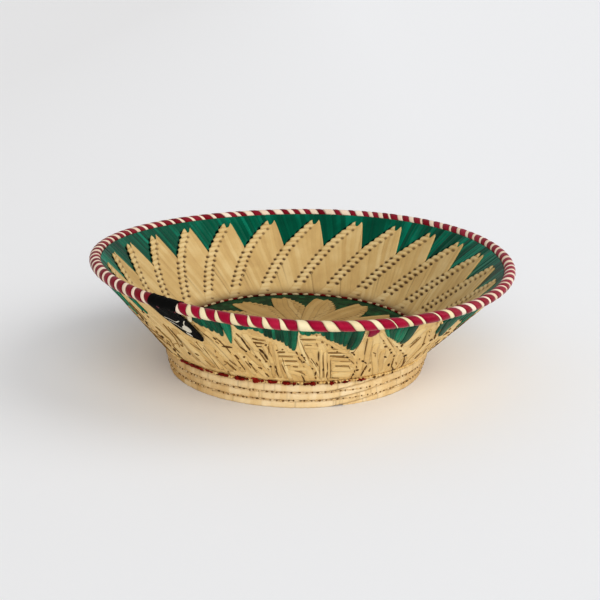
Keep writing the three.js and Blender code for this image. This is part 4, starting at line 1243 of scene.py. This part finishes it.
def foot_dots():
    """Dark pricks of painted shade where each wrap goes through the course below it, and leaf turns
    between them.
    """
    rng = np.random.default_rng(66)
    pricks, wraps = StripHeap(), StripHeap()
    around = circle(6)
    for seam in (1, 2):
        out = FOOT_RADIUS + (seam - 0.5) * FOOT_FLARE
        groove = seam * COURSE_RISE - FOOT_FLAT - FOOT_GAP / 2
        place = -180.0
        while place < 180:
            long_part = rng.uniform(1.1, 2.4)
            level = groove + rng.uniform(-0.25, 0.15)
            lump(wraps, out - 0.15, level, place, place + long_part - 0.1,
                 rng.uniform(0.5, 0.78), rng.uniform(0.2, 0.65), rng, 0.12, 5, 6)
            place += long_part + (rng.uniform(0.4, 2.0) if rng.random() < 0.4 else 0.0)
        place = -180.0
        radius = out + 0.2
        while place < 180:
            wide = rng.uniform(1.0, 2.2)
            high = rng.uniform(0.45, 0.85)
            level = groove + rng.uniform(-0.15, 0.35)
            share = np.linspace(0, 1, 5)
            angle = (place + wide * share / radius / DEGREE) * DEGREE
            girth = high * np.array((0.15, 0.6, 1.0, 0.85, 0.3))[::rng.choice((-1, 1)), None]
            r = radius + 0.42 * girth / high * np.cos(around)
            z = level + girth * np.sin(around) + rng.uniform(-0.1, 0.1, 5)[:, None]
            uv = stacked(around, angle[:, None] * radius)
            pricks.add(hand_bend(r, angle[:, None], z), uv, rng.uniform(0.25, 0.65), 0.0)
            place += rng.uniform(1.6, 3.2) if rng.random() < 0.9 else rng.uniform(3.2, 6.5)
    pricks.piece("foot_wrap_pricks", SHADED_GRASS, "leaf_natural", "foot_coil")
    wraps.piece("foot_wrap_turns", FOOT_LEAF, "leaf_natural", "foot_coil")


foot_dots()


# Red stitches in front: from and to in degrees, and thickness. The small knots beside them follow
FRONT_DASHES = (
    (-143.9, -138.1, 2.6), (-137.4, -129.6, 3.2), (-128.5, -124.4, 1.8), (-121.9, -117.2, 3.5),
    (-114.3, -110.2, 3.6), (-110.2, -108.8, 2.0), (-106.9, -104.1, 4.0), (-103.9, -102.3, 2.4),
    (-100.9, -97.3, 3.6), (-95.4, -91.9, 4.2), (-91.3, -90.2, 3.2), (-87.1, -84.6, 2.6),
    (-84.7, -82.2, 4.2), (-76.9, -74.9, 4.2), (-71.8, -69.1, 3.2), (-65.3, -61.2, 2.8),
)
FRONT_KNOTS = (
    (-89.6, -88.8), (-78.7, -77.5), (-73.6, -72.6), (-58.2, -56.9), (-53.7, -52.5), (-48.8, -47.7),
)
SEAM_OUT = 0.8
THREAD_PITCH = 1.5


def foot_stitches():
    """Twisted red stitches and their loose threads, over a row of natural ones."""
    rng = np.random.default_rng(71)
    radius = TOP_COURSE_RADIUS + SEAM_OUT
    height = underside_height(radius) - GAP - SEAM_OUT
    red, knots, thread = StripHeap(), StripHeap(), StripHeap()
    dashes = list(FRONT_DASHES)
    place = -4.0
    while place < 178.0:
        length = rng.uniform(2.8, 4.6)
        dashes.append((place, place + length, rng.uniform(3.0, 4.2)))
        if rng.random() < 0.4:
            dashes.append((place + length + 0.2, place + length + 1.5, rng.uniform(1.8, 2.6)))
        place += length + rng.uniform(2.4, 4.0)
    for start, stop, thick in dashes:
        size = 0.45 * thick
        middle = (start + stop) / 2
        rise = 1.6 * min(1.0, max(0.0, (-88.0 - middle) / 15.0)) * (middle > -160)
        cut = start + (stop - start) * rng.uniform(0.35, 0.65)
        tone = rng.uniform(0.2, 0.6)
        out, level = radius + rise, height + rise * 0.8
        lump(red, out + 0.35, level, start, cut + 0.8, 0.75 * size, tone, rng)
        second = 0.75 * size * rng.uniform(0.75, 1.0)
        lump(red, out + 0.25, level - 0.25, cut - 0.6, stop, second, tone + 0.15, rng)
        for _ in range(4):
            first, last = sorted(rng.uniform(-0.15, 1.15, 2))
            last = max(last, first + 0.35)
            drop = rng.uniform(-0.75, 0.75) * size
            lump(red, out + 0.45 + 0.3 * size, level + drop, start + (stop - start) * first,
                 start + (stop - start) * last, rng.uniform(0.22, 0.42) * size,
                 rng.uniform(0.0, 0.9), rng, 0.1)
    for start, stop in FRONT_KNOTS:
        lump(knots, radius + 0.5, height, start, stop, 0.95, 0.2, rng)
    for place in np.arange(-180.0, 180.0, THREAD_PITCH):
        start, stop = place + 0.05, place + THREAD_PITCH - 0.05
        tone = rng.uniform(0.3, 0.75)
        lump(thread, radius - 0.1, height + 0.35, start, stop, 1.15, tone, rng, 0.05, 4, 6)
    red.piece("foot_stitches_red", SEAM_RED, "seam_red", "foot_seam_strip")
    knots.piece("foot_stitch_knots", SHADED_GRASS, "seam_red", "foot_seam_strip")
    thread.piece("foot_stitches_natural", NATURAL_OUTSIDE, "leaf_natural", "foot_seam_strip")


foot_stitches()


# Corner: short red and cream stitches between wall and floor
def corner_stitches():
    rng = np.random.default_rng(81)
    red, pale = StripHeap(), StripHeap()
    radius = CORNER_RADIUS + 0.9
    height = MIDDLE_HEIGHT + LEAF_INSIDE + 1.0
    start = -180.0
    while start < 175.5:
        middle = start + rng.uniform(2.5, 3.9)
        stop = middle + rng.uniform(2.0, 3.2)
        # Painted shade in the corner: the red takes the darker tones of the red leaf, and the cream
        # is darkened
        tone = rng.uniform(0.0, 0.45)
        lump(red, radius, height, start - 0.3, middle + 0.3, 0.95, tone, rng, 0.1, 6, 6)
        tone = rng.uniform(0.0, 0.5)
        lump(pale, radius - 0.2, height, middle - 0.3, stop + 0.3, 0.9, tone, rng, 0.55, 6, 6)
        start = stop
    red.piece("corner_stitches_red", SEAM_RED, "seam_red", "corner_cord")
    pale.piece("corner_stitches_cream", CREAM_LEAF, "binding_cream", "corner_cord")


corner_stitches()


# Floor: a natural star on green
LEAF_UNDER = MIDDLE_HEIGHT + LEAF_INSIDE
PETAL_STRAIGHT_TURN = 3.6
PETAL_TIP_TURN = 8.0
PETAL_START = 6.5
PETAL_PITCH = 360 / PETAL_COUNT
PETAL_TOP_SHARES = (0, 0.12, 0.45, 0.9, 1.0)
PETAL_TOP_OFFSETS = (-2.5, -0.2, -3.0, 0.3, -1.5)
PETAL_KNOT_SPAN = 4.6
PETAL_FLOAT = 4.0
BUTTON_RADIUS = 7.0
GROUND_FROM = 48.0
GROUND_TURN, GROUND_KINDS = 4.2, 256
UNDERSIDE_PITCH = 4.4
UNDERSIDE_TURN, UNDERSIDE_KINDS = 3.6, 512


def petal(index):
    """One petal of the star: floats with a row of knots and a stepped edge on its low side."""
    rows, columns = 96, 52
    rng = np.random.default_rng(500 + index)
    share = np.linspace(0, 1, columns)[None, :]
    up = np.linspace(0, 1, rows)[:, None]
    tip = PETAL_TIP + np.interp(share, PETAL_TOP_SHARES, PETAL_TOP_OFFSETS) + rng.uniform(-1.5, 0.5)
    radius = BUTTON_RADIUS + 0.2 + (tip - BUTTON_RADIUS) * up
    beyond = np.clip((radius - PETAL_NOTCH) / (PETAL_TIP - PETAL_NOTCH), 0, 1.1)
    slant = PETAL_PITCH - PETAL_STRAIGHT_TURN - PETAL_TIP_TURN
    first = PETAL_START + PETAL_PITCH * index + slant * beyond
    last = PETAL_START + PETAL_PITCH * (index + 1) - PETAL_STRAIGHT_TURN * beyond
    phase = (radius - PETAL_NOTCH) / COURSE
    _, rise = numbered(phase)
    line = np.round(phase).astype(int)
    knot_down = np.abs(2 * rise - 1)
    stair = -(rise - 0.5) * slant * COURSE / (PETAL_TIP - PETAL_NOTCH) * (beyond > 0)
    degrees = first + (last - first) * share + stair * np.clip((0.3 - share) / 0.3, 0, 1)
    arc = radius * DEGREE
    from_low = (degrees - first) * arc
    number, part = numbered(((degrees - last) * arc + 0.06 * radius) / PETAL_FLOAT)
    kind = number % KINDS
    lean = rng.uniform(-0.3, 0.3, KINDS)
    tones = rng.uniform(0.3, 0.7, KINDS)
    relief = lean[kind] * (part - 0.5) + 0.1 * dome(part)
    in_knots = np.clip(PETAL_KNOT_SPAN - from_low, 0, 1) * np.clip((radius - 30) / 8, 0, 1)
    knots = (1 - knot_down**4) * 0.35 - 0.15
    relief = relief * (1 - in_knots) + knots * in_knots
    # Painted shade: dark in the holes, along some float creases, at the border with the next petal,
    # and between knots
    hole = pit(from_low - PETAL_KNOT_SPAN, phase, 0.9, 0.8) * (line < 4) * (radius > 24) * 0.8
    crease = 0.4 * near_edges(part, 0.07) * (rng.random(KINDS)[kind] > 0.45)
    border = 0.5 * np.exp(-(from_low / 0.6) ** 2) * (beyond <= 0)
    between_knots = 0.25 * in_knots * (1 - knot_down < 0.2)
    dark = np.clip(0.9 * hole + crease * (1 - in_knots) + border + between_knots, 0, 1)
    top = FLOOR_HEIGHT + 0.25 + relief - 0.6 * hole - 0.5 * border
    angle = degrees * DEGREE
    front = hand_bend(radius, angle, top)
    back = hand_bend(radius, angle, LEAF_UNDER + 0.45 + 0 * top)
    name = f"floor_petal_{index + 1:02d}"
    sheet_piece(f"{name}_woven", front, back, NATURAL_FLOOR_SHADED, "leaf_natural", name,
                stacked(part * PETAL_FLOAT + number * 5.3, radius + 17.0 * index),
                tones[kind], dark)


for place in range(PETAL_COUNT):
    petal(place)


def green_floor():
    """Green leaf under the star, in courses of offset turns."""
    radius, degrees = round_grid(GROUND_FROM, CORNER_RADIUS - GAP, 34, 620)
    rng = np.random.default_rng(91)
    course, rise = numbered((radius - PETAL_NOTCH) / COURSE)
    number, part = numbered(degrees * radius.mean() * DEGREE / GROUND_TURN + 0.5 * (course % 2))
    key = (number * 5 + course * 11) % GROUND_KINDS
    slant, tone = own_turns(rng, GROUND_KINDS, key, part, 0.2, (0.0, 0.6))
    top = LEAF_UNDER + 0.4 + (0.12 * dome(rise) + slant)
    front = hand_bend(radius, degrees * DEGREE, top)
    back = hand_bend(radius, degrees * DEGREE, LEAF_UNDER + 0 * radius)
    # Painted shade along the edges of the turns
    sheet_piece("floor_green_woven", front, back, GREEN_FLOOR_SHADED, "leaf_green", "floor_leaf_green",
                stacked(part * GROUND_TURN + key * 3.7, radius), tone,
                0.35 * near_edges(part, 0.08), closes_round=True)


green_floor()


def floor_underside():
    """The floor's spiral from below, each course wrapped in leaf turns."""
    radius, degrees = round_grid(0.4, CORNER_RADIUS - GAP, 110, 560)
    rng = np.random.default_rng(95)
    course, rise = numbered(radius / UNDERSIDE_PITCH + degrees / 360)
    middle = np.maximum(course + 0.5, 0.5)
    number, part = numbered(degrees * DEGREE * middle * UNDERSIDE_PITCH / UNDERSIDE_TURN)
    key = (number * 5 + course * 13) % UNDERSIDE_KINDS
    slant, tone = own_turns(rng, UNDERSIDE_KINDS, key, part, 0.25, (0.25, 0.7))
    # Painted shade in the valleys between courses and along the edges of turns
    valley = near_edges(rise, 0.12)
    crease = near_edges(part, 0.08)
    dark = np.clip(0.5 * valley + 0.3 * crease + 0.5 * valley * crease, 0, 1)
    bottom = MIDDLE_HEIGHT - LEAF_OUTSIDE + 0.3 - (0.45 * dome(rise) + slant)
    front = hand_bend(radius, degrees * DEGREE, bottom)
    back = hand_bend(radius, degrees * DEGREE, MIDDLE_HEIGHT - LEAF_INSIDE + 0 * radius)
    sheet_piece("floor_underside_coiled", front, back, NATURAL_OUTSIDE, "leaf_natural",
                "floor_leaf_underside", stacked(part * UNDERSIDE_TURN + key * 3.3, radius),
                tone, dark, closes_round=True)


floor_underside()


# Ribbon: black cloth over the rim, with plain cream marks on its tail
# Lines: how far down the tail, slope, half width, and from where to where across
CLOTH_LINES = ((0.2, 0.12, 0.016, 0.08, 0.62), (0.3, 0.2, 0.02, 0.05, 0.9))
# Leaf shapes: middle across, how far down, width, height and skew
CLOTH_LEAVES = ((0.57, 0.49, 0.2, 0.075, 0.12), (0.28, 0.63, 0.13, 0.06, 0.1))
RIBBON_LEFT = -129.1
RIBBON_RIGHT = -120.3
CLOTH_HALF = 0.25 * METRES
# Both edges of the tail from the rim down: along and degrees
TAIL_LEFT = (
    (79.6, -129.1), (76.0, -128.4), (72.0, -127.4), (67.8, -126.1), (62.2, -124.6), (57.0, -123.0),
    (54.3, -121.0), (53.0, -119.2), (52.6, -118.2),
)
TAIL_RIGHT = (
    (79.6, -119.9), (76.8, -119.0), (73.5, -118.7), (70.8, -118.5), (64.8, -117.8), (59.0, -117.3),
    (55.8, -117.2), (54.0, -117.3), (53.0, -117.7),
)


def ribbon():
    """The cloth's middle sheet, over the rim and down the wall, given its thickness."""
    across, over_rows, tail_rows = 25, 30, 44
    share = np.linspace(0, 1, across)[None, :]
    around = np.radians(np.linspace(205, -22, over_rows))[:, None]
    right = RIBBON_RIGHT + 0.5 * np.clip((around - 1.6) / 0.6, 0, 1)
    degrees = RIBBON_LEFT + (right - RIBBON_LEFT) * share
    fold = 0.18 * np.sin(share * 17 + around * 1.3) + 0.12 * np.sin(share * 31 - around * 2)
    over = on_rim(around, degrees, 0.75 + fold * np.clip((3.3 - around) / 2, 0.3, 1))
    spots = np.arange(len(TAIL_LEFT))
    steps = np.linspace(0, spots[-1], tail_rows)
    left_path, right_path = [
        [np.interp(steps, spots, values)[:, None] for values in zip(*path)]
        for path in (TAIL_LEFT, TAIL_RIGHT)
    ]
    along, turns = [near + (far - near) * share for near, far in zip(left_path, right_path)]
    down = (steps / steps[-1])[:, None]
    lift = 1.05 + 0.5 * np.sin(share * math.pi) * (1 - down)
    lift = lift + 0.25 * np.sin(share * 14 + down * 5) * (1 - down * 0.6) + 0.5 * down**3
    middle = np.concatenate([over, on_wall(along, turns, LEAF_OUTSIDE + lift)])
    for _ in range(3):
        middle[1:-1] = 0.5 * middle[1:-1] + 0.25 * (middle[:-2] + middle[2:])
    normal = np.cross(np.gradient(middle, axis=0), np.gradient(middle, axis=1))
    normal /= np.linalg.norm(normal, axis=2, keepdims=True)
    if (normal[over_rows + 10, across // 2] * np.array([0.6, 0.8, 0.0])).sum() > 0:
        normal = -normal
    widths = np.linalg.norm(np.diff(middle, axis=1), axis=2)
    lengths = np.linalg.norm(np.diff(middle, axis=0), axis=2)
    run = running(lengths.mean(1))
    u = np.concatenate([np.zeros((len(middle), 1)), np.cumsum(widths, axis=1)], axis=1)
    uv = stacked(u, run[:, None]) / METRES
    tail_share = np.concatenate([np.full(over_rows, -1.0), steps / steps[-1]])[:, None]
    piece = sheet_piece(
        "ribbon_cloth", middle + normal * CLOTH_HALF, middle - normal * CLOTH_HALF, CLOTH,
        "ribbon_black", "ribbon_tag", uv, tail_share, share, step=1)


def cloth_finish():
    """Black plain weave; the tail has plain cream lines and leaf shapes on it."""
    material, tree = new_material("black_cloth")
    lay = wire(tree, "ShaderNodeUVMap", uv_map="lay")
    looks = {"Vector": lay.outputs["UV"], "Scale": 0.9, "Distortion": 0.6}
    warp, weft = [wire(tree, "ShaderNodeTexWave", looks, bands_direction=way) for way in ("X", "Y")]
    threads = math_node(tree, "MULTIPLY", warp.outputs["Fac"], weft.outputs["Fac"])
    tail = wire(tree, "ShaderNodeAttribute", attribute_name="tone").outputs["Fac"]
    across = wire(tree, "ShaderNodeAttribute", attribute_name="dark").outputs["Fac"]
    marks = None
    for start, slope, half, left, right in CLOTH_LINES:
        line = math_chain(
            tree, across, ("MULTIPLY", 4.0), ("SINE", None), ("MULTIPLY", slope), ("ADD", start))
        away = math_node(tree, "SUBTRACT", tail, line)
        mask = math_chain(tree, away, ("ABSOLUTE", None), ("LESS_THAN", half))
        begun = math_node(tree, "GREATER_THAN", across, left)
        ended = math_node(tree, "LESS_THAN", across, right)
        mask = math_chain(tree, mask, ("MULTIPLY", begun), ("MULTIPLY", ended))
        marks = mask if marks is None else math_node(tree, "MAXIMUM", marks, mask)
    for middle, low, wide, tall, skew in CLOTH_LEAVES:
        aside = math_node(tree, "SUBTRACT", across, middle)
        down = math_node(tree, "SUBTRACT", tail, low)
        turned = math_node(tree, "MULTIPLY", aside, skew)
        down = math_node(tree, "ADD", down, turned)
        aside = math_node(tree, "DIVIDE", aside, wide)
        down = math_node(tree, "DIVIDE", down, tall)
        aside = math_node(tree, "MULTIPLY", aside, aside)
        down = math_node(tree, "MULTIPLY", down, down)
        mask = math_chain(tree, aside, ("ADD", down), ("LESS_THAN", 1.0))
        marks = math_node(tree, "MAXIMUM", marks, mask)
    base = mixed(tree, threads, paint("#020202"), paint("#0b0907"))
    coloured = mixed(tree, marks, base, paint("#dcd5c2"))
    bump = wire(tree, "ShaderNodeBump", {"Height": threads, "Strength": 0.4, "Distance": 0.0002})
    surface = wire(tree, "ShaderNodeBsdfPrincipled", {
        "Base Color": coloured, "Roughness": 0.75, "Specular IOR Level": 0.06,
        "Normal": bump.outputs["Normal"],
    })
    close_material(tree, surface)
    return material


CLOTH = cloth_finish()
ribbon()


# Loose ends of the binding below the rim
LOOSE_TOP = 83.6
CRIMSON_END, CREAM_END_RIGHT, CREAM_END_LEFT = -73.2, -54.9, -117.0


def loose_ends():
    """The binding's thin ends under the rim: two strips of crimson, two of cream, then one."""
    share = np.linspace(0, 1, 12)
    red, right, left = StripHeap(), StripHeap(), StripHeap()
    for shift, low, width in ((0.0, 71.8, 2.3), (1.1, 75.4, 1.4)):
        along = LOOSE_TOP + (low - LOOSE_TOP) * share
        degrees = CRIMSON_END + shift + (1.5 - shift * 0.6) * share + 0.25 * np.sin(share * 5)
        lift = 0.9 + 0.9 * np.sin(share * math.pi) - 0.3 * share
        half = width * (0.8 + 0.4 * np.sin(share * 3.0))
        half[-2:] *= (0.8, 0.4)
        wall_strip(red, along, degrees, half, lift, 1, 0.35, 0.35, 0.35)
    for shift, low, width in ((0.0, 73.0, 0.9), (0.6, 75.5, 0.6)):
        along = LOOSE_TOP + (low - LOOSE_TOP) * share
        degrees = CREAM_END_RIGHT + shift + 2.4 * share + 0.15 * np.sin(share * 7 + shift * 5)
        lift = 0.9 + 0.6 * np.sin(share * 6 + shift * 6) ** 2
        half = width * (0.9 + 0.25 * np.sin(share * 9))
        half[-2:] *= (0.8, 0.4)
        wall_strip(right, along, degrees, half, lift, 1, 0.6, 0.35, 0.4)
    along = LOOSE_TOP + (75.0 - LOOSE_TOP) * share
    half = 2.0 - 0.5 * share
    half[-1] *= 0.6
    lift = 0.95 + 0.2 * share
    wall_strip(left, along, CREAM_END_LEFT - share, half, lift, 1, 0.6, 0.3, 0.3)
    red.piece("loose_end_crimson", CRIMSON_OUTSIDE, "binding_crimson", "binding_end_crimson")
    right.piece(
        "loose_end_cream_right", NATURAL_OUTSIDE, "binding_cream", "binding_end_cream_right")
    left.piece("loose_end_cream_left", CREAM_LEAF, "binding_cream", "binding_end_cream_left")


loose_ends()


# Light, floor and camera
SENSOR_WIDTH = 36.0
FOCAL_PIXELS, PICTURE_PIXELS = 1194.33, 600
CAMERA_PLACE = (0.0, -0.8208674, 0.2978842)
CAMERA_TURNS = (("Z", 0.00038401), ("X", -0.29725679), ("Y", -0.01641334))
FLOOR_COLOURS = ("#ececed", "#f6f7f9")
FLOOR_FADE = (-0.6, 0.2)
ROOM_COLOUR, ROOM_STRENGTH = "#f2f4f7", 0.51
FLOOR_SIZE = 60.0
LAMP_COLOUR = (1.0, 0.975, 0.94)
# Name, energy, angle and direction
LAMPS = (
    ("window", 1.0, 0.8, (-0.8, 0.02, -0.6)),
    ("front_softbox", 1.85, 1.1, (-0.15, 0.87, -0.46)),
)


def camera():
    data = bpy.data.cameras.new("view")
    data.sensor_width = SENSOR_WIDTH
    data.sensor_fit = "HORIZONTAL"
    data.lens = FOCAL_PIXELS / PICTURE_PIXELS * SENSOR_WIDTH
    data.clip_end = 50.0
    viewer = bpy.data.objects.new("view", data)
    bpy.context.scene.collection.objects.link(viewer)
    turn = Matrix.Identity(3)
    for axis, angle in CAMERA_TURNS:
        turn = turn @ Matrix.Rotation(angle, 3, axis)
    right, forward, up = turn.col
    basis = Matrix((right, up, -forward)).transposed().to_4x4()
    viewer.matrix_world = Matrix.Translation(CAMERA_PLACE) @ basis
    bpy.context.scene.camera = viewer


def floor_material():
    """A pale floor with painted shade, a little darker toward the left."""
    material = bpy.data.materials.new("studio_floor")
    material.use_nodes = True
    tree = material.node_tree
    surface = tree.nodes["Principled BSDF"]
    place = wire(tree, "ShaderNodeTexCoord")
    split = wire(tree, "ShaderNodeSeparateXYZ", {"Vector": place.outputs["Object"]})
    across = wire(tree, "ShaderNodeMapRange", {
        "Value": split.outputs["X"], "From Min": FLOOR_FADE[0], "From Max": FLOOR_FADE[1],
        "To Min": 0.0, "To Max": 1.0})
    ramp = wire(tree, "ShaderNodeValToRGB", {"Fac": across.outputs["Result"]})
    for stop, code in zip(ramp.color_ramp.elements, FLOOR_COLOURS):
        stop.color = paint(code)
    tree.links.new(ramp.outputs["Color"], surface.inputs["Base Color"])
    surface.inputs["Roughness"].default_value = 1.0
    surface.inputs["Specular IOR Level"].default_value = 0.0
    return material


def studio():
    bpy.ops.mesh.primitive_plane_add(size=FLOOR_SIZE, location=(0, 0, 0))
    ground = bpy.context.active_object
    ground.name = "studio_ground"
    ground.data.materials.append(floor_material())
    world = bpy.data.worlds.new("soft_room")
    bpy.context.scene.world = world
    world.use_nodes = True
    back = world.node_tree.nodes["Background"]
    back.inputs["Color"].default_value = paint(ROOM_COLOUR)
    back.inputs["Strength"].default_value = ROOM_STRENGTH
    for name, energy, angle, direction in LAMPS:
        lamp_data = bpy.data.lights.new(name, "SUN")
        lamp_data.energy = energy
        lamp_data.angle = angle
        lamp_data.color = LAMP_COLOUR
        lamp = bpy.data.objects.new(name, lamp_data)
        lamp.rotation_euler = Vector(direction).to_track_quat("-Z", "Y").to_euler()
        bpy.context.scene.collection.objects.link(lamp)


camera()
studio()
bpy.context.scene.view_settings.view_transform = "Standard"

# The hidden grass and the floor's centre keep their solids and get a leaf or grass finish
for name, finish in (
    ("floor_coil", GRASS), ("wall_coil", GRASS), ("rim_core", GRASS),
    ("floor_centre_button", NATURAL_FLOOR_SHADED),
):
    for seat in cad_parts[name].material_slots:
        seat.material = finish
